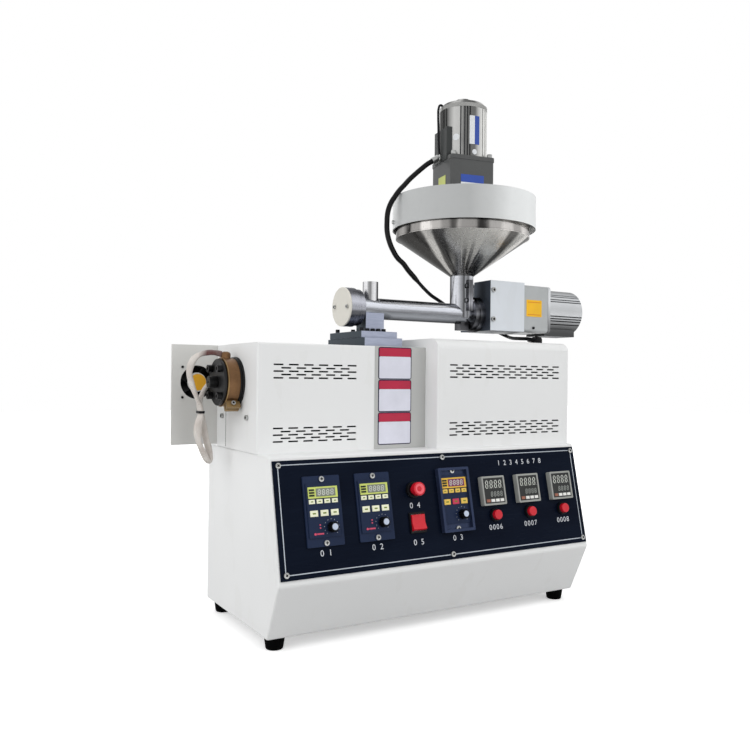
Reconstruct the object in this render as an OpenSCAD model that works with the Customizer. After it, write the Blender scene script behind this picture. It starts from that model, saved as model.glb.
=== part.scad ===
// Desktop filament extruder: control cabinet, heated barrel and drive covers,
// die head with band heater, and a screw feeder with stirred hopper on top.
// Origin: centre of the machine's outline on the ground. X runs along the
// machine from the die to the drive end, Y to the back, Z up. Millimetres.

/* [Cabinet] */
// Length of the cabinet
body_l = 600; // [560:1:680]
// Depth of the cabinet from the front crease to the back
body_d = 300; // [280:1:360]
// Height of the cabinet's shell, without its feet
body_h = 265; // [250:1:300]
// Height of the front crease above the cabinet's underside
crease_h = 85; // [70:1:95]
// How far the crease stands in front of the bottom edge
lower_set = 40; // [20:1:50]
// How far the crease stands in front of the top edge
upper_set = 40; // [30:1:50]
// Bend radius of the folded sheet
bend_r = 3; // [1:0.5:5]

/* [Feet] */
// Height of the rubber feet
foot_h = 20; // [15:1:30]
// Radius of a foot under the cabinet
foot_top_r = 16; // [12:0.5:20]
// Radius of a foot on the ground
foot_r = 13; // [9:0.5:16]
// Distance of the feet from the cabinet's ends
foot_in_x = 22; // [20:1:60]
// Distance of the feet from the bottom's front and back edges
foot_in_y = 22; // [20:1:60]

/* [Control panel] */
// Thickness of the panel plate
panel_t = 2; // [1:0.5:3]
// Margin between the panel and the cabinet's ends
panel_side = 4; // [2:1:12]
// Margin between the panel and the crease
panel_low = 8; // [4:1:12]
// Height of the panel up the slope
panel_h = 170; // [165:1:174]
// Inset of the panel screws
screw_inset = 8; // [5:0.5:12]

/* [Speed controllers] */
// Width of a speed controller
speed_w = 61; // [50:1:66]
// Height of a speed controller
speed_h = 103; // [90:1:108]
// Thickness of its front plate
speed_t = 3; // [2:0.5:5]
// Depth of the raised frame of the third controller
speed_frame = 6; // [4:0.5:10]
// Radius of a speed knob
knob_r = 8.5; // [6:0.5:11]
// Height of a speed knob
knob_h = 13; // [8:1:18]
// Radius of a knob's shaft
knob_shaft_r = 3; // [2:0.5:4]

/* [Temperature controllers] */
// Side of a temperature controller
temp_s = 48; // [40:1:54]
// How far it stands out of the panel
temp_out = 10; // [6:0.5:14]

/* [Switches] */
// Radius of a push button's cap
button_r = 8; // [6:0.5:9]
// Radius of a push button's collar
collar_r = 10.5; // [9.5:0.5:13]
// Height of a push button's collar
collar_h = 6; // [5:0.5:10]
// Travel of a push button
button_travel = 3; // [2:0.5:4]
// Radius of the stop button's head
stop_r = 11.8; // [11:0.1:16]
// Travel of the stop button
stop_travel = 4; // [2:0.5:6]
// Width of the power switch's bezel
switch_w = 29; // [26:0.5:34]
// Height of the power switch's bezel
switch_h = 32; // [30:0.5:38]
// Swing of the power rocker
rocker_swing = 16; // [8:1:18]

/* [Heater cover] */
// Length of the heater cover over the barrel
heater_l = 205; // [180:1:230]
// Depth of the heater cover
heater_d = 174; // [160:1:190]
// Distance of the heater cover behind the crease
heater_set = 85; // [70:1:95]
// Height of the heater cover
heater_h = 168; // [150:1:176]
// Depth of the rear part of the heater cover
heater_rear = 43; // [30:1:60]
// Length of the recessed cover in the middle
middle_l = 101; // [90:1:120]
// How far the middle cover lies behind the heater cover's face
middle_set = 3; // [2:0.5:8]

/* [Drive cover] */
// Distance of the drive cover behind the crease
drive_set = 52; // [45:1:66]
// Height of the drive cover
drive_h = 183; // [178:1:200]
// Radius of its top front edge
drive_r = 19; // [8:1:30]

/* [Vent slots] */
// Length of a vent slot
slot_l = 17; // [12:0.5:20]
// Width of a vent slot
slot_w = 2.5; // [1.5:0.5:3]
// Distance between slots along a row
slot_pitch = 25.5; // [22:0.5:28]
// Distance between rows of slots
slot_row = 5.1; // [4:0.1:7]
// Depth of the slots in the sheet
slot_t = 1.5; // [1:0.5:3]

/* [Fan] */
// Distance of the fan plate's end from the cabinet
plate_out = 78; // [76:1:95]
// Thickness of the fan plate
plate_t = 2; // [1:0.5:4]
// Side of the cooling fan
fan_s = 60; // [50:1:66]
// Depth of the cooling fan
fan_d = 20; // [15:1:30]
// Radius of the fan's rotor
rotor_r = 26.5; // [20:0.5:27]
// Radius of the fan's hub
hub_r = 15; // [12:0.5:17]

/* [Die head] */
// Height of the barrel's axis over the cabinet
barrel_z = 107; // [95:1:115]
// Radius of the die body
die_r = 34; // [30:0.5:38]
// Length of the die body
die_l = 27; // [24:0.5:40]
// Thickness of the band heater
band_t = 4; // [2:0.5:6]
// Radius of the die flange
die_flange_r = 37; // [34:0.5:42]
// Thickness of the die flange
die_flange_t = 5; // [4:0.5:10]
// Radius of the bolt circle of the die flange
die_bolt_r = 30; // [26:0.5:31]
// Radius of the nozzle
nozzle_r = 9.5; // [7:0.5:14]
// How far the nozzle stands out of the flange
nozzle_l = 14; // [8:0.5:20]
// Radius of the nozzle's bore
nozzle_bore = 2; // [1:0.25:3]

/* [Feeder] */
// Height of the feeder's axis over the cabinet
feed_z = 237; // [235:1:250]
// Radius of the feeder barrel
feed_r = 18.5; // [16:0.5:19]
// Length of the feeder barrel between its housing and its flange
feed_l = 236.5; // [232:0.5:250]
// Radius of the housing at the feeder's end
end_r = 33.5; // [28:0.5:36]
// Length of the housing at the feeder's end
end_l = 18; // [14:1:26]
// Radius of the vent pipe
vent_r = 13.5; // [10:0.5:16]
// Height of the vent pipe's top over the feeder's axis
vent_h = 46; // [36:1:60]
// Wall of the vent pipe and the feed tube
tube_wall = 1.5; // [1:0.25:2.5]
// Radius of the feed tube under the hopper
tube_r = 21.7; // [20.5:0.1:23]
// Height of the feed tube's top over the feeder's axis
tube_h = 65; // [60:1:75]

/* [Feeder drive] */
// Side of the feeder's gear case
gear_s = 90; // [84:1:96]
// Length of the feeder's gear case
gear_l = 62; // [50:1:70]
// Radius of the feeder's motor
feed_motor_r = 43.5; // [38:0.5:44]
// Length of the feeder's motor without its cap
feed_motor_l = 105; // [90:1:120]
// Length of the bracket between flange and gear case
bracket_l = 81; // [72:1:90]

/* [Hopper] */
// Radius of the hopper's rim
hopper_r = 124; // [110:1:127]
// Height of the hopper's straight rim
rim_h = 71; // [64:1:80]
// Height of the hopper's cone
cone_h = 70; // [60:1:80]
// Wall of the hopper
hopper_wall = 1.5; // [1:0.25:3]
// Radius of the lid
lid_r = 133; // [132:0.5:140]
// Height of the lid's skirt
lid_h = 58; // [50:1:62]
// Thickness of the lid
lid_t = 2; // [1:0.5:3]

/* [Stirrer drive] */
// Side of the stirrer's gear case
stir_s = 89; // [84:1:92]
// Height of the stirrer's gear case
stir_h = 73; // [60:1:80]
// Turn of the stirrer drive on the lid
stir_turn = -11; // [-18:1:-8]
// Radius of the stirrer's motor
stir_r = 44; // [40:0.5:44]
// Height of the stirrer's motor without its cap
stir_motor_h = 107; // [92:1:116]
// Height of the motors' end caps
motor_cap = 9; // [4:1:16]

/* [Hidden] */

// Clearances
seat = 0.3;          // between pieces that move past each other
running = 0.05;      // radial clearance of a shaft in its bore
big = 400;

// Feeder along X, from the cabinet's left end
end_in = heater_l - 14;
step_l = 10.5;
flange1_l = 9;
flange2_l = 11;
reach_l = end_in + end_l + step_l + feed_l + flange1_l + flange2_l + bracket_l + gear_l
    + feed_motor_l + motor_cap;

// The fan plate's end and the feeder motor's end lie equally far from the origin
left_x = -(reach_l - plate_out) / 2;
front_y = -body_d / 2;
top_z = foot_h + body_h;
bottom_z = foot_h;

// Sloping panel face
face_h = body_h - crease_h;
slope = atan2(face_h, upper_set);
face_l = norm([face_h, upper_set]);

// Covers, and how far their upper and lower rows of slots lie from their edges
slot_drop = [33, 44];
slot_rise = [38, 42];
heater_y = front_y + heater_set;
drive_x = left_x + heater_l + middle_l;
drive_l = body_l - heater_l - middle_l;
drive_y = front_y + drive_set;
drive_d = heater_set + heater_d - drive_set;
mid_y = heater_y + heater_d / 2;
cover_z = top_z + heater_h;
drive_top = top_z + drive_h;
rear_gap = 0.6;
barrel_y = mid_y;
die_z = top_z + barrel_z;

// Panel layout: centres along the panel and up the slope
speed_x = [78.5, 166, 317];
speed_v = 101.5;
knob_off = 10;
knob_v = 77;
temp_x = [395, 470.5, 546.5];
temp_v = 110.5;
button_x = [397, 472.5, 547.5];
button_v = 70.5;
stop_x = 239;
stop_v = 122;
switch_x = 241;
switch_v = 71;

// Small parts on the panel
stop_collar_r = stop_r + 0.8;
stop_collar_h = 7;
stop_stem_r = 8;
stop_head_h = 10;
bezel_t = 3.5;
rocker_r = switch_h / 2 - 3.4;
rocker_w = switch_w - 5;
pivot_w = panel_t + 2.2;
pin_r = 1.1;
pin_l = 1.2;

// Fan
fan_x = left_x - 35;
fan_z = die_z - 1;
fan_y = heater_y + heater_d;
fan_bore = rotor_r + 1.2;
shaft_r = 2;
vane_n = 7;

// Die
ring_t = 3;
ring_r = 40;
head_r = 6;
head_h = 8;

// Feeder: axis, then places along X
axis_y = mid_y;
axis_z = top_z + feed_z;
end_x = left_x + end_in;
cap_t = 3;
feed_x = end_x + end_l + step_l;
flange1_r = 30;
flange2_r = 33;
bracket_x = feed_x + feed_l + flange1_l + flange2_l;
gear_x = bracket_x + bracket_l;
motor_x = gear_x + gear_l;
gear_z = axis_z + 14;
bracket_t = 5;
cover_t = 2;
block_x = feed_x + 26;
block_l = 36.5;
block_d = 33;
vent_x = block_x;
plate1_l = 73.5;
plate1_d = 130;
plate1_h = 15;
plate2_l = 70;
plate2_d = 112;
plate2_h = 11;
plate_x = feed_x + 14.5;   // feed plates under the feeder's end

// Hopper stack
hop_back = 12.5;     // hopper's axis in front of the feeder's flange
hop_x = feed_x + feed_l - hop_back;
lid_x = hop_x + 3;   // the lid hangs a little off the rim's centre
tube_top = axis_z + tube_h;
neck_r = tube_r - tube_wall - seat;
cone_z = tube_top + 5;
rim_z = cone_z + cone_h;
lid_z = rim_z + rim_h;
lid_screw = 159;
stir_z = lid_z + lid_t;
gear_flange = 8;
motor_z = stir_z + stir_h;
cap_r = 19;
top_cap_r = 15;
top_cap_h = 6;
dome = 10;

// Terminal box on the stirrer motor, in the stirrer drive's own frame
box_out = 46;
box_w = 54;
box_z = motor_z - 6;
box_h = 60;
gland_z = box_z + 8;
gland_l = 19;
conduit_r = 4.2;

// Routes of the cables: points along the centre lines, from what carries them
function from(at, points) = [for (p = points) at + p];
hopper_at = [hop_x, axis_y, axis_z];
motor_at = [motor_x, axis_y, axis_z];
die_at = [left_x, barrel_y, die_z];
cable_r = 3.4;
feeder_lead_r = 3;
heater_lead_r = 3.2;
motor_lead_r = 2.2;
conduit_path = from(hopper_at, [[-58.9, 11.4, 281.7], [-69, 14, 275.5], [-82, 17, 264.5], [-95, 18, 253],
    [-107, 18, 242], [-119, 16, 230], [-132, 14, 217], [-141, 14, 205], [-148, 16, 193],
    [-152, 19, 178], [-152, 22, 160], [-150, 24, 142], [-144, 25, 124], [-135, 27, 110],
    [-124, 29, 98], [-110, 31, 89], [-98, 33, 78], [-85, 35, 68]]);
cable_path = from(hopper_at, [[-85, 35, 68], [-71, 37, 57], [-56, 39, 46], [-40, 41, 36],
    [-24, 43, 29], [-6, 46, 21], [12, 50, 11], [31, 53, 0], [54, 53, -8], [79, 53, -14],
    [104, 53, -19], [127, 53, -24], [142, 51, -30], [150, 44, -35], [146, 30, -38], [141, 14, -40],
    [137, -2, -41], [134, -18, -42], [134, -34, -43], [137, -44, -44.5], [139, -50, -46]]);
feeder_path = from(motor_at, [[12, 0, -34], [11, 0, -39], [7, 0, -43], [0, -1, -45],
    [-8.5, -4, -45], [-18.5, -11, -45], [-25.5, -22, -45], [-29.5, -32, -45]]);
motor_path = from(hopper_at, [[-36, 12, 385], [-43.5, 12.5, 387.5], [-48, 12, 380],
    [-49, 11.5, 366], [-48.8, 11, 348], [-48.6, 10.5, 330], [-48.4, 10, 312], [-47.6, 9, 293]]);
heater_path = from(die_at, [[-24.5, 0, 44], [-34.5, 4, 46], [-43.5, 10, 46], [-53.5, 16, 43],
    [-61.5, 19, 37], [-66.5, 21, 27], [-68.5, 23, 15], [-65.5, 24, 1], [-60.5, 25, -13],
    [-54.5, 25, -27], [-49.5, 25, -41], [-48.5, 25, -52], [-51.5, 25, -64], [-53.5, 25, -77],
    [-52.5, 25, -91], [-47.5, 25, -105], [-41.5, 26, -117], [-35.5, 28, -126], [-31.5, 31, -125],
    [-30.5, 33, -117], [-33.5, 33, -104], [-37.5, 33, -90], [-41.5, 33, -76], [-44.5, 33, -62],
    [-46.5, 33, -49], [-48.5, 33, -36], [-44.5, 35, -22], [-35.5, 39, -8], [-22.5, 44, 1],
    [-9.5, 49, 6], [2.5, 50, 6]]);
tie_at = die_at + [-48, 29, -50];

// A swept tube along a list of points
function unit(v) = v / norm(v);
function along(p, i) = unit(p[min(i + 1, len(p) - 1)] - p[max(i - 1, 0)]);
function ring(p, i, r, n, up) =
    let (t = along(p, i), a = unit(cross(t, up)), b = cross(t, a))
    [for (k = [0:n - 1]) p[i] + r * (cos(360 * k / n) * a + sin(360 * k / n) * b)];
module sweep(path, r, n, up) {
    last = len(path) - 1;
    points = [for (i = [0:last]) each ring(path, i, r, n, up)];
    sides = [for (i = [0:last - 1]) for (k = [0:n - 1])
        [i * n + k, i * n + (k + 1) % n, (i + 1) * n + (k + 1) % n, (i + 1) * n + k]];
    ends = [[for (k = [n - 1:-1:0]) k], [for (k = [0:n - 1]) last * n + k]];
    polyhedron(points = points, faces = concat(sides, ends), convexity = 8);
}

// A square with rounded corners, centred
module rounded(w, h, r) {
    square([w - 2 * r, h], center = true);
    square([w, h - 2 * r], center = true);
    for (x = [-1, 1]) for (y = [-1, 1])
        translate([x * (w / 2 - r), y * (h / 2 - r)]) circle(r, $fn = 48);
}

// Places a child on the sloping face: X along, Y up the slope, Z outwards
module on_face(u = 0, v = 0, w = 0) {
    translate([left_x, front_y, bottom_z + crease_h]) rotate([slope, 0, 0])
        translate([u, v, w]) children();
}

// A cylinder along X
module rod(x, y, z, r, l, fn = 96) {
    translate([x, y, z]) rotate([0, 90, 0]) cylinder(r = r, h = l, $fn = fn);
}

module cabinet_outline() {
    difference() {
        polygon([[lower_set, 0], [0, crease_h], [upper_set, body_h], [body_d, body_h], [body_d, 0]]);
        // pocket behind the power switch's opening is cut in 3D
    }
}

module cabinet() {
    color("whitesmoke") difference() {
        translate([left_x, front_y, bottom_z]) rotate([90, 0, 90])
            linear_extrude(body_l) cabinet_outline();
        on_face(switch_x, switch_v, -3) linear_extrude(4)
            rounded(rocker_w + 1.4, 2 * rocker_r + 1.4, 0.6);
    }
}

module feet() {
    color("black") for (x = [foot_in_x, body_l - foot_in_x])
        for (y = [lower_set + foot_in_y, body_d - foot_in_y])
            translate([left_x + x, front_y + y, 0])
                cylinder(r1 = foot_r, r2 = foot_top_r, h = foot_h, $fn = 48);
}

module control_panel() {
    color("midnightblue") difference() {
        on_face(panel_side, panel_low, 0) cube([body_l - 2 * panel_side, panel_h, panel_t]);
        on_face(switch_x, switch_v, -1) linear_extrude(panel_t + 2)
            rounded(rocker_w + 1.4, 2 * rocker_r + 1.4, 0.6);
    }
}

module speed_controllers() {
    color("darkslateblue") difference() {
        for (i = [0:2]) on_face(speed_x[i], speed_v, panel_t)
            linear_extrude(speed_t) rounded(speed_w, speed_h, 2);
        for (i = [0:2]) on_face(speed_x[i] + knob_off, knob_v, panel_t - 1)
            cylinder(r = knob_shaft_r + running, h = speed_t + 2, $fn = 48);
    }
    color("silver") on_face(speed_x[2], speed_v, panel_t + speed_t)
        linear_extrude(speed_frame) difference() {
            rounded(speed_w, speed_h, 2);
            rounded(speed_w - 9, speed_h - 9, 1);
        }
}

module speed_knob(i) {
    color("black") on_face(speed_x[i] + knob_off, knob_v, panel_t) {
        translate([0, 0, speed_t + seat]) cylinder(r1 = knob_r, r2 = knob_r - 0.7, h = knob_h, $fn = 64);
        translate([0, 0, seat]) cylinder(r = knob_shaft_r, h = speed_t + 1, $fn = 48);
        translate([-0.7, 0, speed_t + knob_h + seat - 0.5]) cube([1.4, knob_r - 1.5, 1]);
    }
}
module speed_knob_1() { speed_knob(0); }
module speed_knob_2() { speed_knob(1); }
module speed_knob_3() { speed_knob(2); }

module temperature_controllers() {
    color("dimgray") for (u = temp_x) on_face(u, temp_v, panel_t) difference() {
        linear_extrude(temp_out) rounded(temp_s, temp_s, 2);
        translate([0, 0, temp_out - 1]) linear_extrude(2) rounded(temp_s - 6, temp_s - 6, 1);
    }
}

module button_collars() {
    color("black") for (u = button_x) on_face(u, button_v, panel_t) difference() {
        cylinder(r = collar_r, h = collar_h, $fn = 64);
        translate([0, 0, -1]) cylinder(r = button_r + seat, h = collar_h + 2, $fn = 64);
    }
}

module push_button(i) {
    color("crimson") on_face(button_x[i], button_v, panel_t + button_travel + 0.5)
        cylinder(r = button_r, h = collar_h + 2.5, $fn = 64);
}
module push_button_1() { push_button(0); }
module push_button_2() { push_button(1); }
module push_button_3() { push_button(2); }

module stop_base() {
    color("black") on_face(stop_x, stop_v, panel_t) difference() {
        cylinder(r = stop_collar_r, h = stop_collar_h, $fn = 64);
        translate([0, 0, -1]) cylinder(r = stop_stem_r + seat, h = stop_collar_h + 2, $fn = 64);
    }
}

module stop_button() {
    color("red") on_face(stop_x, stop_v, panel_t + stop_travel + 0.5) {
        cylinder(r = stop_stem_r, h = stop_collar_h + 1, $fn = 64);
        translate([0, 0, stop_collar_h + 0.6]) rotate_extrude($fn = 96) {
            square([stop_r - 4, stop_head_h]);
            square([stop_r, stop_head_h - 4]);
            translate([stop_r - 4, stop_head_h - 4]) intersection() {
                circle(4, $fn = 48);
                square(5);
            }
        }
    }
}

module switch_bezel() {
    color("black") on_face(switch_x, switch_v, panel_t) difference() {
        linear_extrude(bezel_t) difference() {
            rounded(switch_w, switch_h, 1.5);
            square([rocker_w + 2 * seat, 2 * (rocker_r + 2 * seat)], center = true);
        }
        translate([-switch_w / 2, 0, pivot_w - panel_t]) rotate([0, 90, 0])
            translate([0, 0, switch_w / 2 - rocker_w / 2 - pin_l - 0.3])
                cylinder(r = pin_r + running, h = rocker_w + 2 * pin_l + 0.6, $fn = 32);
    }
}

// The rocker's side outline swings about its pivot, shown at its lower limit
module power_rocker() {
    color("red") on_face(switch_x, switch_v, pivot_w) rotate([-rocker_swing / 2, 0, 0]) {
        rotate([0, 90, 0]) cylinder(r = pin_r, h = rocker_w + 2 * pin_l, center = true, $fn = 32);
        rotate([90, 0, 90]) linear_extrude(rocker_w, center = true) intersection() {
            circle(rocker_r, $fn = 96);
            polygon([[-rocker_r, -1.1], [rocker_r, -1.1], [rocker_r, 6], [0, 3.6], [-rocker_r, 6]]);
        }
    }
}

// Rows of slots, staggered, on a face in XZ; n slots in the longer rows
module slot_rows(n, x, z) {
    for (row = [0:4]) for (i = [0:n - 1 - row % 2])
        translate([x + (i + (row % 2) / 2) * slot_pitch, z - row * slot_row]) {
            square([slot_l - slot_w, slot_w], center = true);
            for (s = [-1, 1]) translate([s * (slot_l - slot_w) / 2, 0])
                circle(slot_w / 2, $fn = 16);
        }
}

module slots(n, x, y, z_top, z_low) {
    translate([0, y + slot_t, 0]) rotate([90, 0, 0]) linear_extrude(slot_t + 1) {
        slot_rows(n, x, z_top);
        slot_rows(n, x, z_low);
    }
}

// A sheet cover over a footprint, with bent vertical and top edges in front
module cover(x, y, l, d, h, r_side, r_top) {
    intersection() {
        translate([x, y, top_z]) linear_extrude(h) union() {
            translate([r_side, 0]) square([l - 2 * r_side, r_side]);
            translate([0, r_side]) square([l, d - r_side]);
            for (s = [r_side, l - r_side]) translate([s, r_side]) circle(r_side, $fn = 48);
        }
        translate([x, y, top_z]) rotate([90, 0, 90]) linear_extrude(l) union() {
            square([r_top, h - r_top]);
            translate([r_top, 0]) square([d - r_top, h]);
            translate([r_top, h - r_top]) circle(r_top, $fn = 64);
        }
    }
}

module heater_cover() {
    color("white") difference() {
        cover(left_x, heater_y, heater_l, heater_d - heater_rear, heater_h, bend_r, bend_r);
        slots(6, left_x + 34.5, heater_y, cover_z - slot_drop[0], top_z + slot_rise[0]);
        rod(left_x - 1, barrel_y, die_z, ring_r - 3, 4);
    }
}

module heater_cover_rear() {
    color("white") translate([left_x, heater_y + heater_d - heater_rear + rear_gap, top_z])
        cube([heater_l, heater_rear - rear_gap, heater_h]);
}

module middle_cover() {
    color("gainsboro") translate([left_x + heater_l, heater_y + middle_set, top_z])
        cube([middle_l, heater_d - middle_set, heater_h]);
}

module drive_cover() {
    color("white") difference() {
        cover(drive_x, drive_y, drive_l, drive_d, drive_h, bend_r, drive_r);
        slots(10, drive_x + 33, drive_y, drive_top - slot_drop[1], top_z + slot_rise[1]);
    }
}

module fan_plate() {
    color("gainsboro") difference() {
        translate([left_x - plate_out, fan_y, top_z + 3])
            cube([plate_out + 40, plate_t, heater_h - 3]);
        translate([fan_x, fan_y - 1, fan_z]) rotate([-90, 0, 0])
            cylinder(r = fan_bore, h = plate_t + 2, $fn = 64);
    }
}

module fan_frame() {
    color("black") translate([fan_x, fan_y + plate_t, fan_z]) rotate([-90, 0, 0]) {
        linear_extrude(fan_d) difference() {
            rounded(fan_s, fan_s, 3);
            circle(fan_bore, $fn = 64);
        }
        translate([0, 0, fan_d - 3]) for (a = [0, 60, 120]) rotate(a)
            translate([-fan_bore - 0.6, -2.5, 0]) cube([2 * fan_bore + 1.2, 5, 3]);
        translate([0, 0, fan_d - 3]) cylinder(r = hub_r, h = 3, $fn = 48);
        translate([0, 0, 4]) cylinder(r = shaft_r, h = fan_d - 6, $fn = 32);
    }
}

module fan_rotor() {
    color("gold") translate([fan_x, fan_y + plate_t, fan_z]) rotate([-90, 0, 0]) difference() {
        union() {
            cylinder(r = hub_r, h = fan_d - 4, $fn = 64);
            intersection() {
                cylinder(r = rotor_r, h = fan_d - 5, $fn = 64);
                for (k = [0:vane_n - 1]) rotate(k * 360 / vane_n)
                    translate([hub_r - 1, 0, (fan_d - 4) / 2]) rotate([40, 0, 0])
                        translate([0, -9, -0.8]) cube([rotor_r, 18, 1.6]);
            }
        }
        translate([0, 0, 3]) cylinder(r = shaft_r + running, h = fan_d, $fn = 32);
    }
}

module die_body() {
    color("dimgray") {
        rod(left_x - ring_t, barrel_y, die_z, ring_r, ring_t);
        rod(left_x - die_l, barrel_y, die_z, die_r, die_l);
    }
}

module heater_band() {
    band_l = die_l - ring_t - 1;
    color("saddlebrown") {
        difference() {
            rod(left_x - die_l + 0.5, barrel_y, die_z, die_r + band_t, band_l);
            rod(left_x - die_l - 1, barrel_y, die_z, die_r, die_l + 2);
            translate([left_x - die_l, barrel_y, die_z]) rotate([-32, 0, 0])
                translate([0, -1.2, -die_r - 10]) cube([die_l, 2.4, 14]);
        }
        translate([left_x - die_l + 1, barrel_y, die_z]) rotate([-32, 0, 0])
            for (y = [-7, 1]) translate([0, y, -die_r - 15]) cube([band_l - 1, 6, 13.5]);
        translate([left_x - 18, barrel_y, die_z + die_r + 1.5]) cylinder(r = 8, h = 12.5, $fn = 48);
    }
}

module die_flange() {
    color("black") difference() {
        rod(left_x - die_l - die_flange_t, barrel_y, die_z, die_flange_r, die_flange_t);
        rod(left_x - die_l - die_flange_t - 1, barrel_y, die_z, nozzle_r - 2, die_flange_t + 2, 64);
    }
}

module die_screws() {
    color("black") for (a = [45:90:315]) translate([0, barrel_y, die_z]) rotate([a, 0, 0])
        difference() {
            rod(left_x - die_l - die_flange_t - head_h, 0, die_bolt_r, head_r, head_h, 48);
            rod(left_x - die_l - die_flange_t - head_h - 1, 0, die_bolt_r, head_r / 2, 5, 6);
        }
}

module die_nozzle() {
    color("black") difference() {
        union() {
            rod(left_x - die_l - die_flange_t - nozzle_l, barrel_y, die_z, nozzle_r, nozzle_l, 64);
            rod(left_x - die_l - die_flange_t - 1, barrel_y, die_z, nozzle_r - 2, die_flange_t + 1, 64);
        }
        rod(left_x - die_l - die_flange_t - nozzle_l - 1, barrel_y, die_z, nozzle_bore,
            nozzle_l + die_flange_t + 2, 48);
    }
}

module lower_feed_plate() {
    color("slategray") translate([plate_x - plate1_l / 2, axis_y - plate1_d / 2, cover_z])
        cube([plate1_l, plate1_d, plate1_h]);
}

module upper_feed_plate() {
    color("slategray") translate([plate_x - 3 - plate2_l / 2, axis_y - plate2_d / 2, cover_z + plate1_h])
        cube([plate2_l, plate2_d, plate2_h]);
}

module support_block() {
    z = cover_z + plate1_h + plate2_h;
    color("slategray") difference() {
        translate([block_x - block_l / 2, axis_y - block_d / 2, z])
            cube([block_l, block_d, axis_z - z]);
        rod(block_x - block_l, axis_y, axis_z, feed_r, 2 * block_l);
    }
}

module feeder_barrel() {
    color("silver") difference() {
        rod(feed_x, axis_y, axis_z, feed_r, feed_l);
        translate([vent_x, axis_y, axis_z]) cylinder(r = vent_r - tube_wall, h = feed_r + 1, $fn = 64);
    }
}

module end_housing() {
    color("silver") {
        rod(end_x, axis_y, axis_z, end_r, end_l);
        rod(end_x + end_l, axis_y, axis_z, end_r - 2, step_l);
    }
}

module end_cap() {
    color("antiquewhite") rod(end_x - cap_t, axis_y, axis_z, end_r, cap_t);
}

module vent_pipe() {
    color("silver") difference() {
        translate([vent_x, axis_y, axis_z]) cylinder(r = vent_r, h = vent_h, $fn = 64);
        rod(vent_x - 30, axis_y, axis_z, feed_r, 60);
        translate([vent_x, axis_y, axis_z]) cylinder(r = vent_r - tube_wall, h = vent_h + 1, $fn = 64);
    }
}

module feeder_flange() {
    color("silver") difference() {
        union() {
            rod(feed_x + feed_l, axis_y, axis_z, flange1_r, flange1_l);
            rod(feed_x + feed_l + flange1_l, axis_y, axis_z, flange2_r, flange2_l);
        }
        translate([hop_x, axis_y, axis_z - 9]) cylinder(r = tube_r + seat, h = 90, $fn = 64);
        translate([hop_x, axis_y - tube_r - 4, axis_z + 22]) cube([12, 12, 50], center = true);
    }
}

// Angle bracket: a full-width end plate with a cut upper rear corner, a
// bottom plate and a plate that carries the gear case
module drive_bracket() {
    low = gear_z - gear_s / 2;
    color("dimgray") {
        difference() {
            translate([bracket_x, axis_y - gear_s / 2, low]) cube([bracket_t, gear_s, gear_s + 3]);
            translate([bracket_x - 1, axis_y + 4, axis_z + flange2_r]) cube([bracket_t + 2, gear_s, gear_s]);
        }
        translate([bracket_x + bracket_t, axis_y - gear_s / 2, low])
            cube([bracket_l - 2 * bracket_t, gear_s, bracket_t]);
        translate([gear_x - bracket_t, axis_y - gear_s / 2, low]) cube([bracket_t, gear_s, gear_s]);
    }
}

module coupling_cover() {
    low = gear_z - gear_s / 2;
    color("whitesmoke") {
        translate([bracket_x, axis_y - gear_s / 2 - cover_t, low])
            cube([bracket_l, cover_t, gear_s + 3]);
        translate([bracket_x + bracket_t, axis_y - gear_s / 2, low + bracket_t])
            cube([bracket_l - 2 * bracket_t, gear_s, gear_s - bracket_t]);
    }
}

module feeder_gear_case() {
    color("gray") translate([gear_x, axis_y, gear_z]) rotate([0, 90, 0])
        linear_extrude(gear_l) rounded(gear_s, gear_s, 7);
}

module feeder_motor() {
    color("darkgray") translate([motor_x, axis_y, gear_z]) {
        rotate([0, 90, 0]) {
            linear_extrude(6) rounded(gear_s, gear_s, 7);
            translate([0, 0, 6]) cylinder(r = feed_motor_r, h = feed_motor_l - 18, $fn = 96);
            translate([0, 0, feed_motor_l - 12])
                cylinder(r1 = feed_motor_r, r2 = feed_motor_r - 8, h = 7, $fn = 96);
            translate([0, 0, feed_motor_l - 5])
                cylinder(r1 = feed_motor_r - 8, r2 = cap_r + 3, h = 5, $fn = 96);
            translate([0, 0, feed_motor_l]) cylinder(r = cap_r, h = motor_cap, $fn = 64);
        }
        translate([8, -26, -gear_s / 2 - 4]) cube([80, 52, 14]);
    }
}

module feed_tube() {
    color("silver") difference() {
        translate([hop_x, axis_y, axis_z - 8]) cylinder(r = tube_r, h = tube_h + 8, $fn = 64);
        translate([hop_x, axis_y, axis_z]) cylinder(r = tube_r - tube_wall, h = tube_h + 1, $fn = 64);
        rod(hop_x - 30, axis_y, axis_z, feed_r, 60);
    }
}

module tube_clamp() {
    color("silver") difference() {
        for (s = [-4.5, 0.5]) translate([hop_x + s, axis_y - tube_r - 7, axis_z + 5])
            cube([4, 12, tube_h - 8]);
        translate([hop_x, axis_y, axis_z]) cylinder(r = tube_r, h = tube_h + 1, $fn = 64);
    }
    color("black") for (z = [24, 51]) translate([0, 0, axis_z + z]) {
        rod(hop_x - 8.5, axis_y - tube_r - 3.5, 0, 3, 4, 24);
        rod(hop_x + 4.5, axis_y - tube_r - 3.5, 0, 3, 4, 6);
    }
    color("gray") difference() {
        translate([hop_x - 8, axis_y - 10, axis_z - feed_r - 12]) cube([18, 20, 24]);
        rod(hop_x - 30, axis_y, axis_z, feed_r, 60);
        translate([hop_x, axis_y, axis_z - 8]) cylinder(r = tube_r, h = tube_h + 8, $fn = 64);
    }
}

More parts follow.
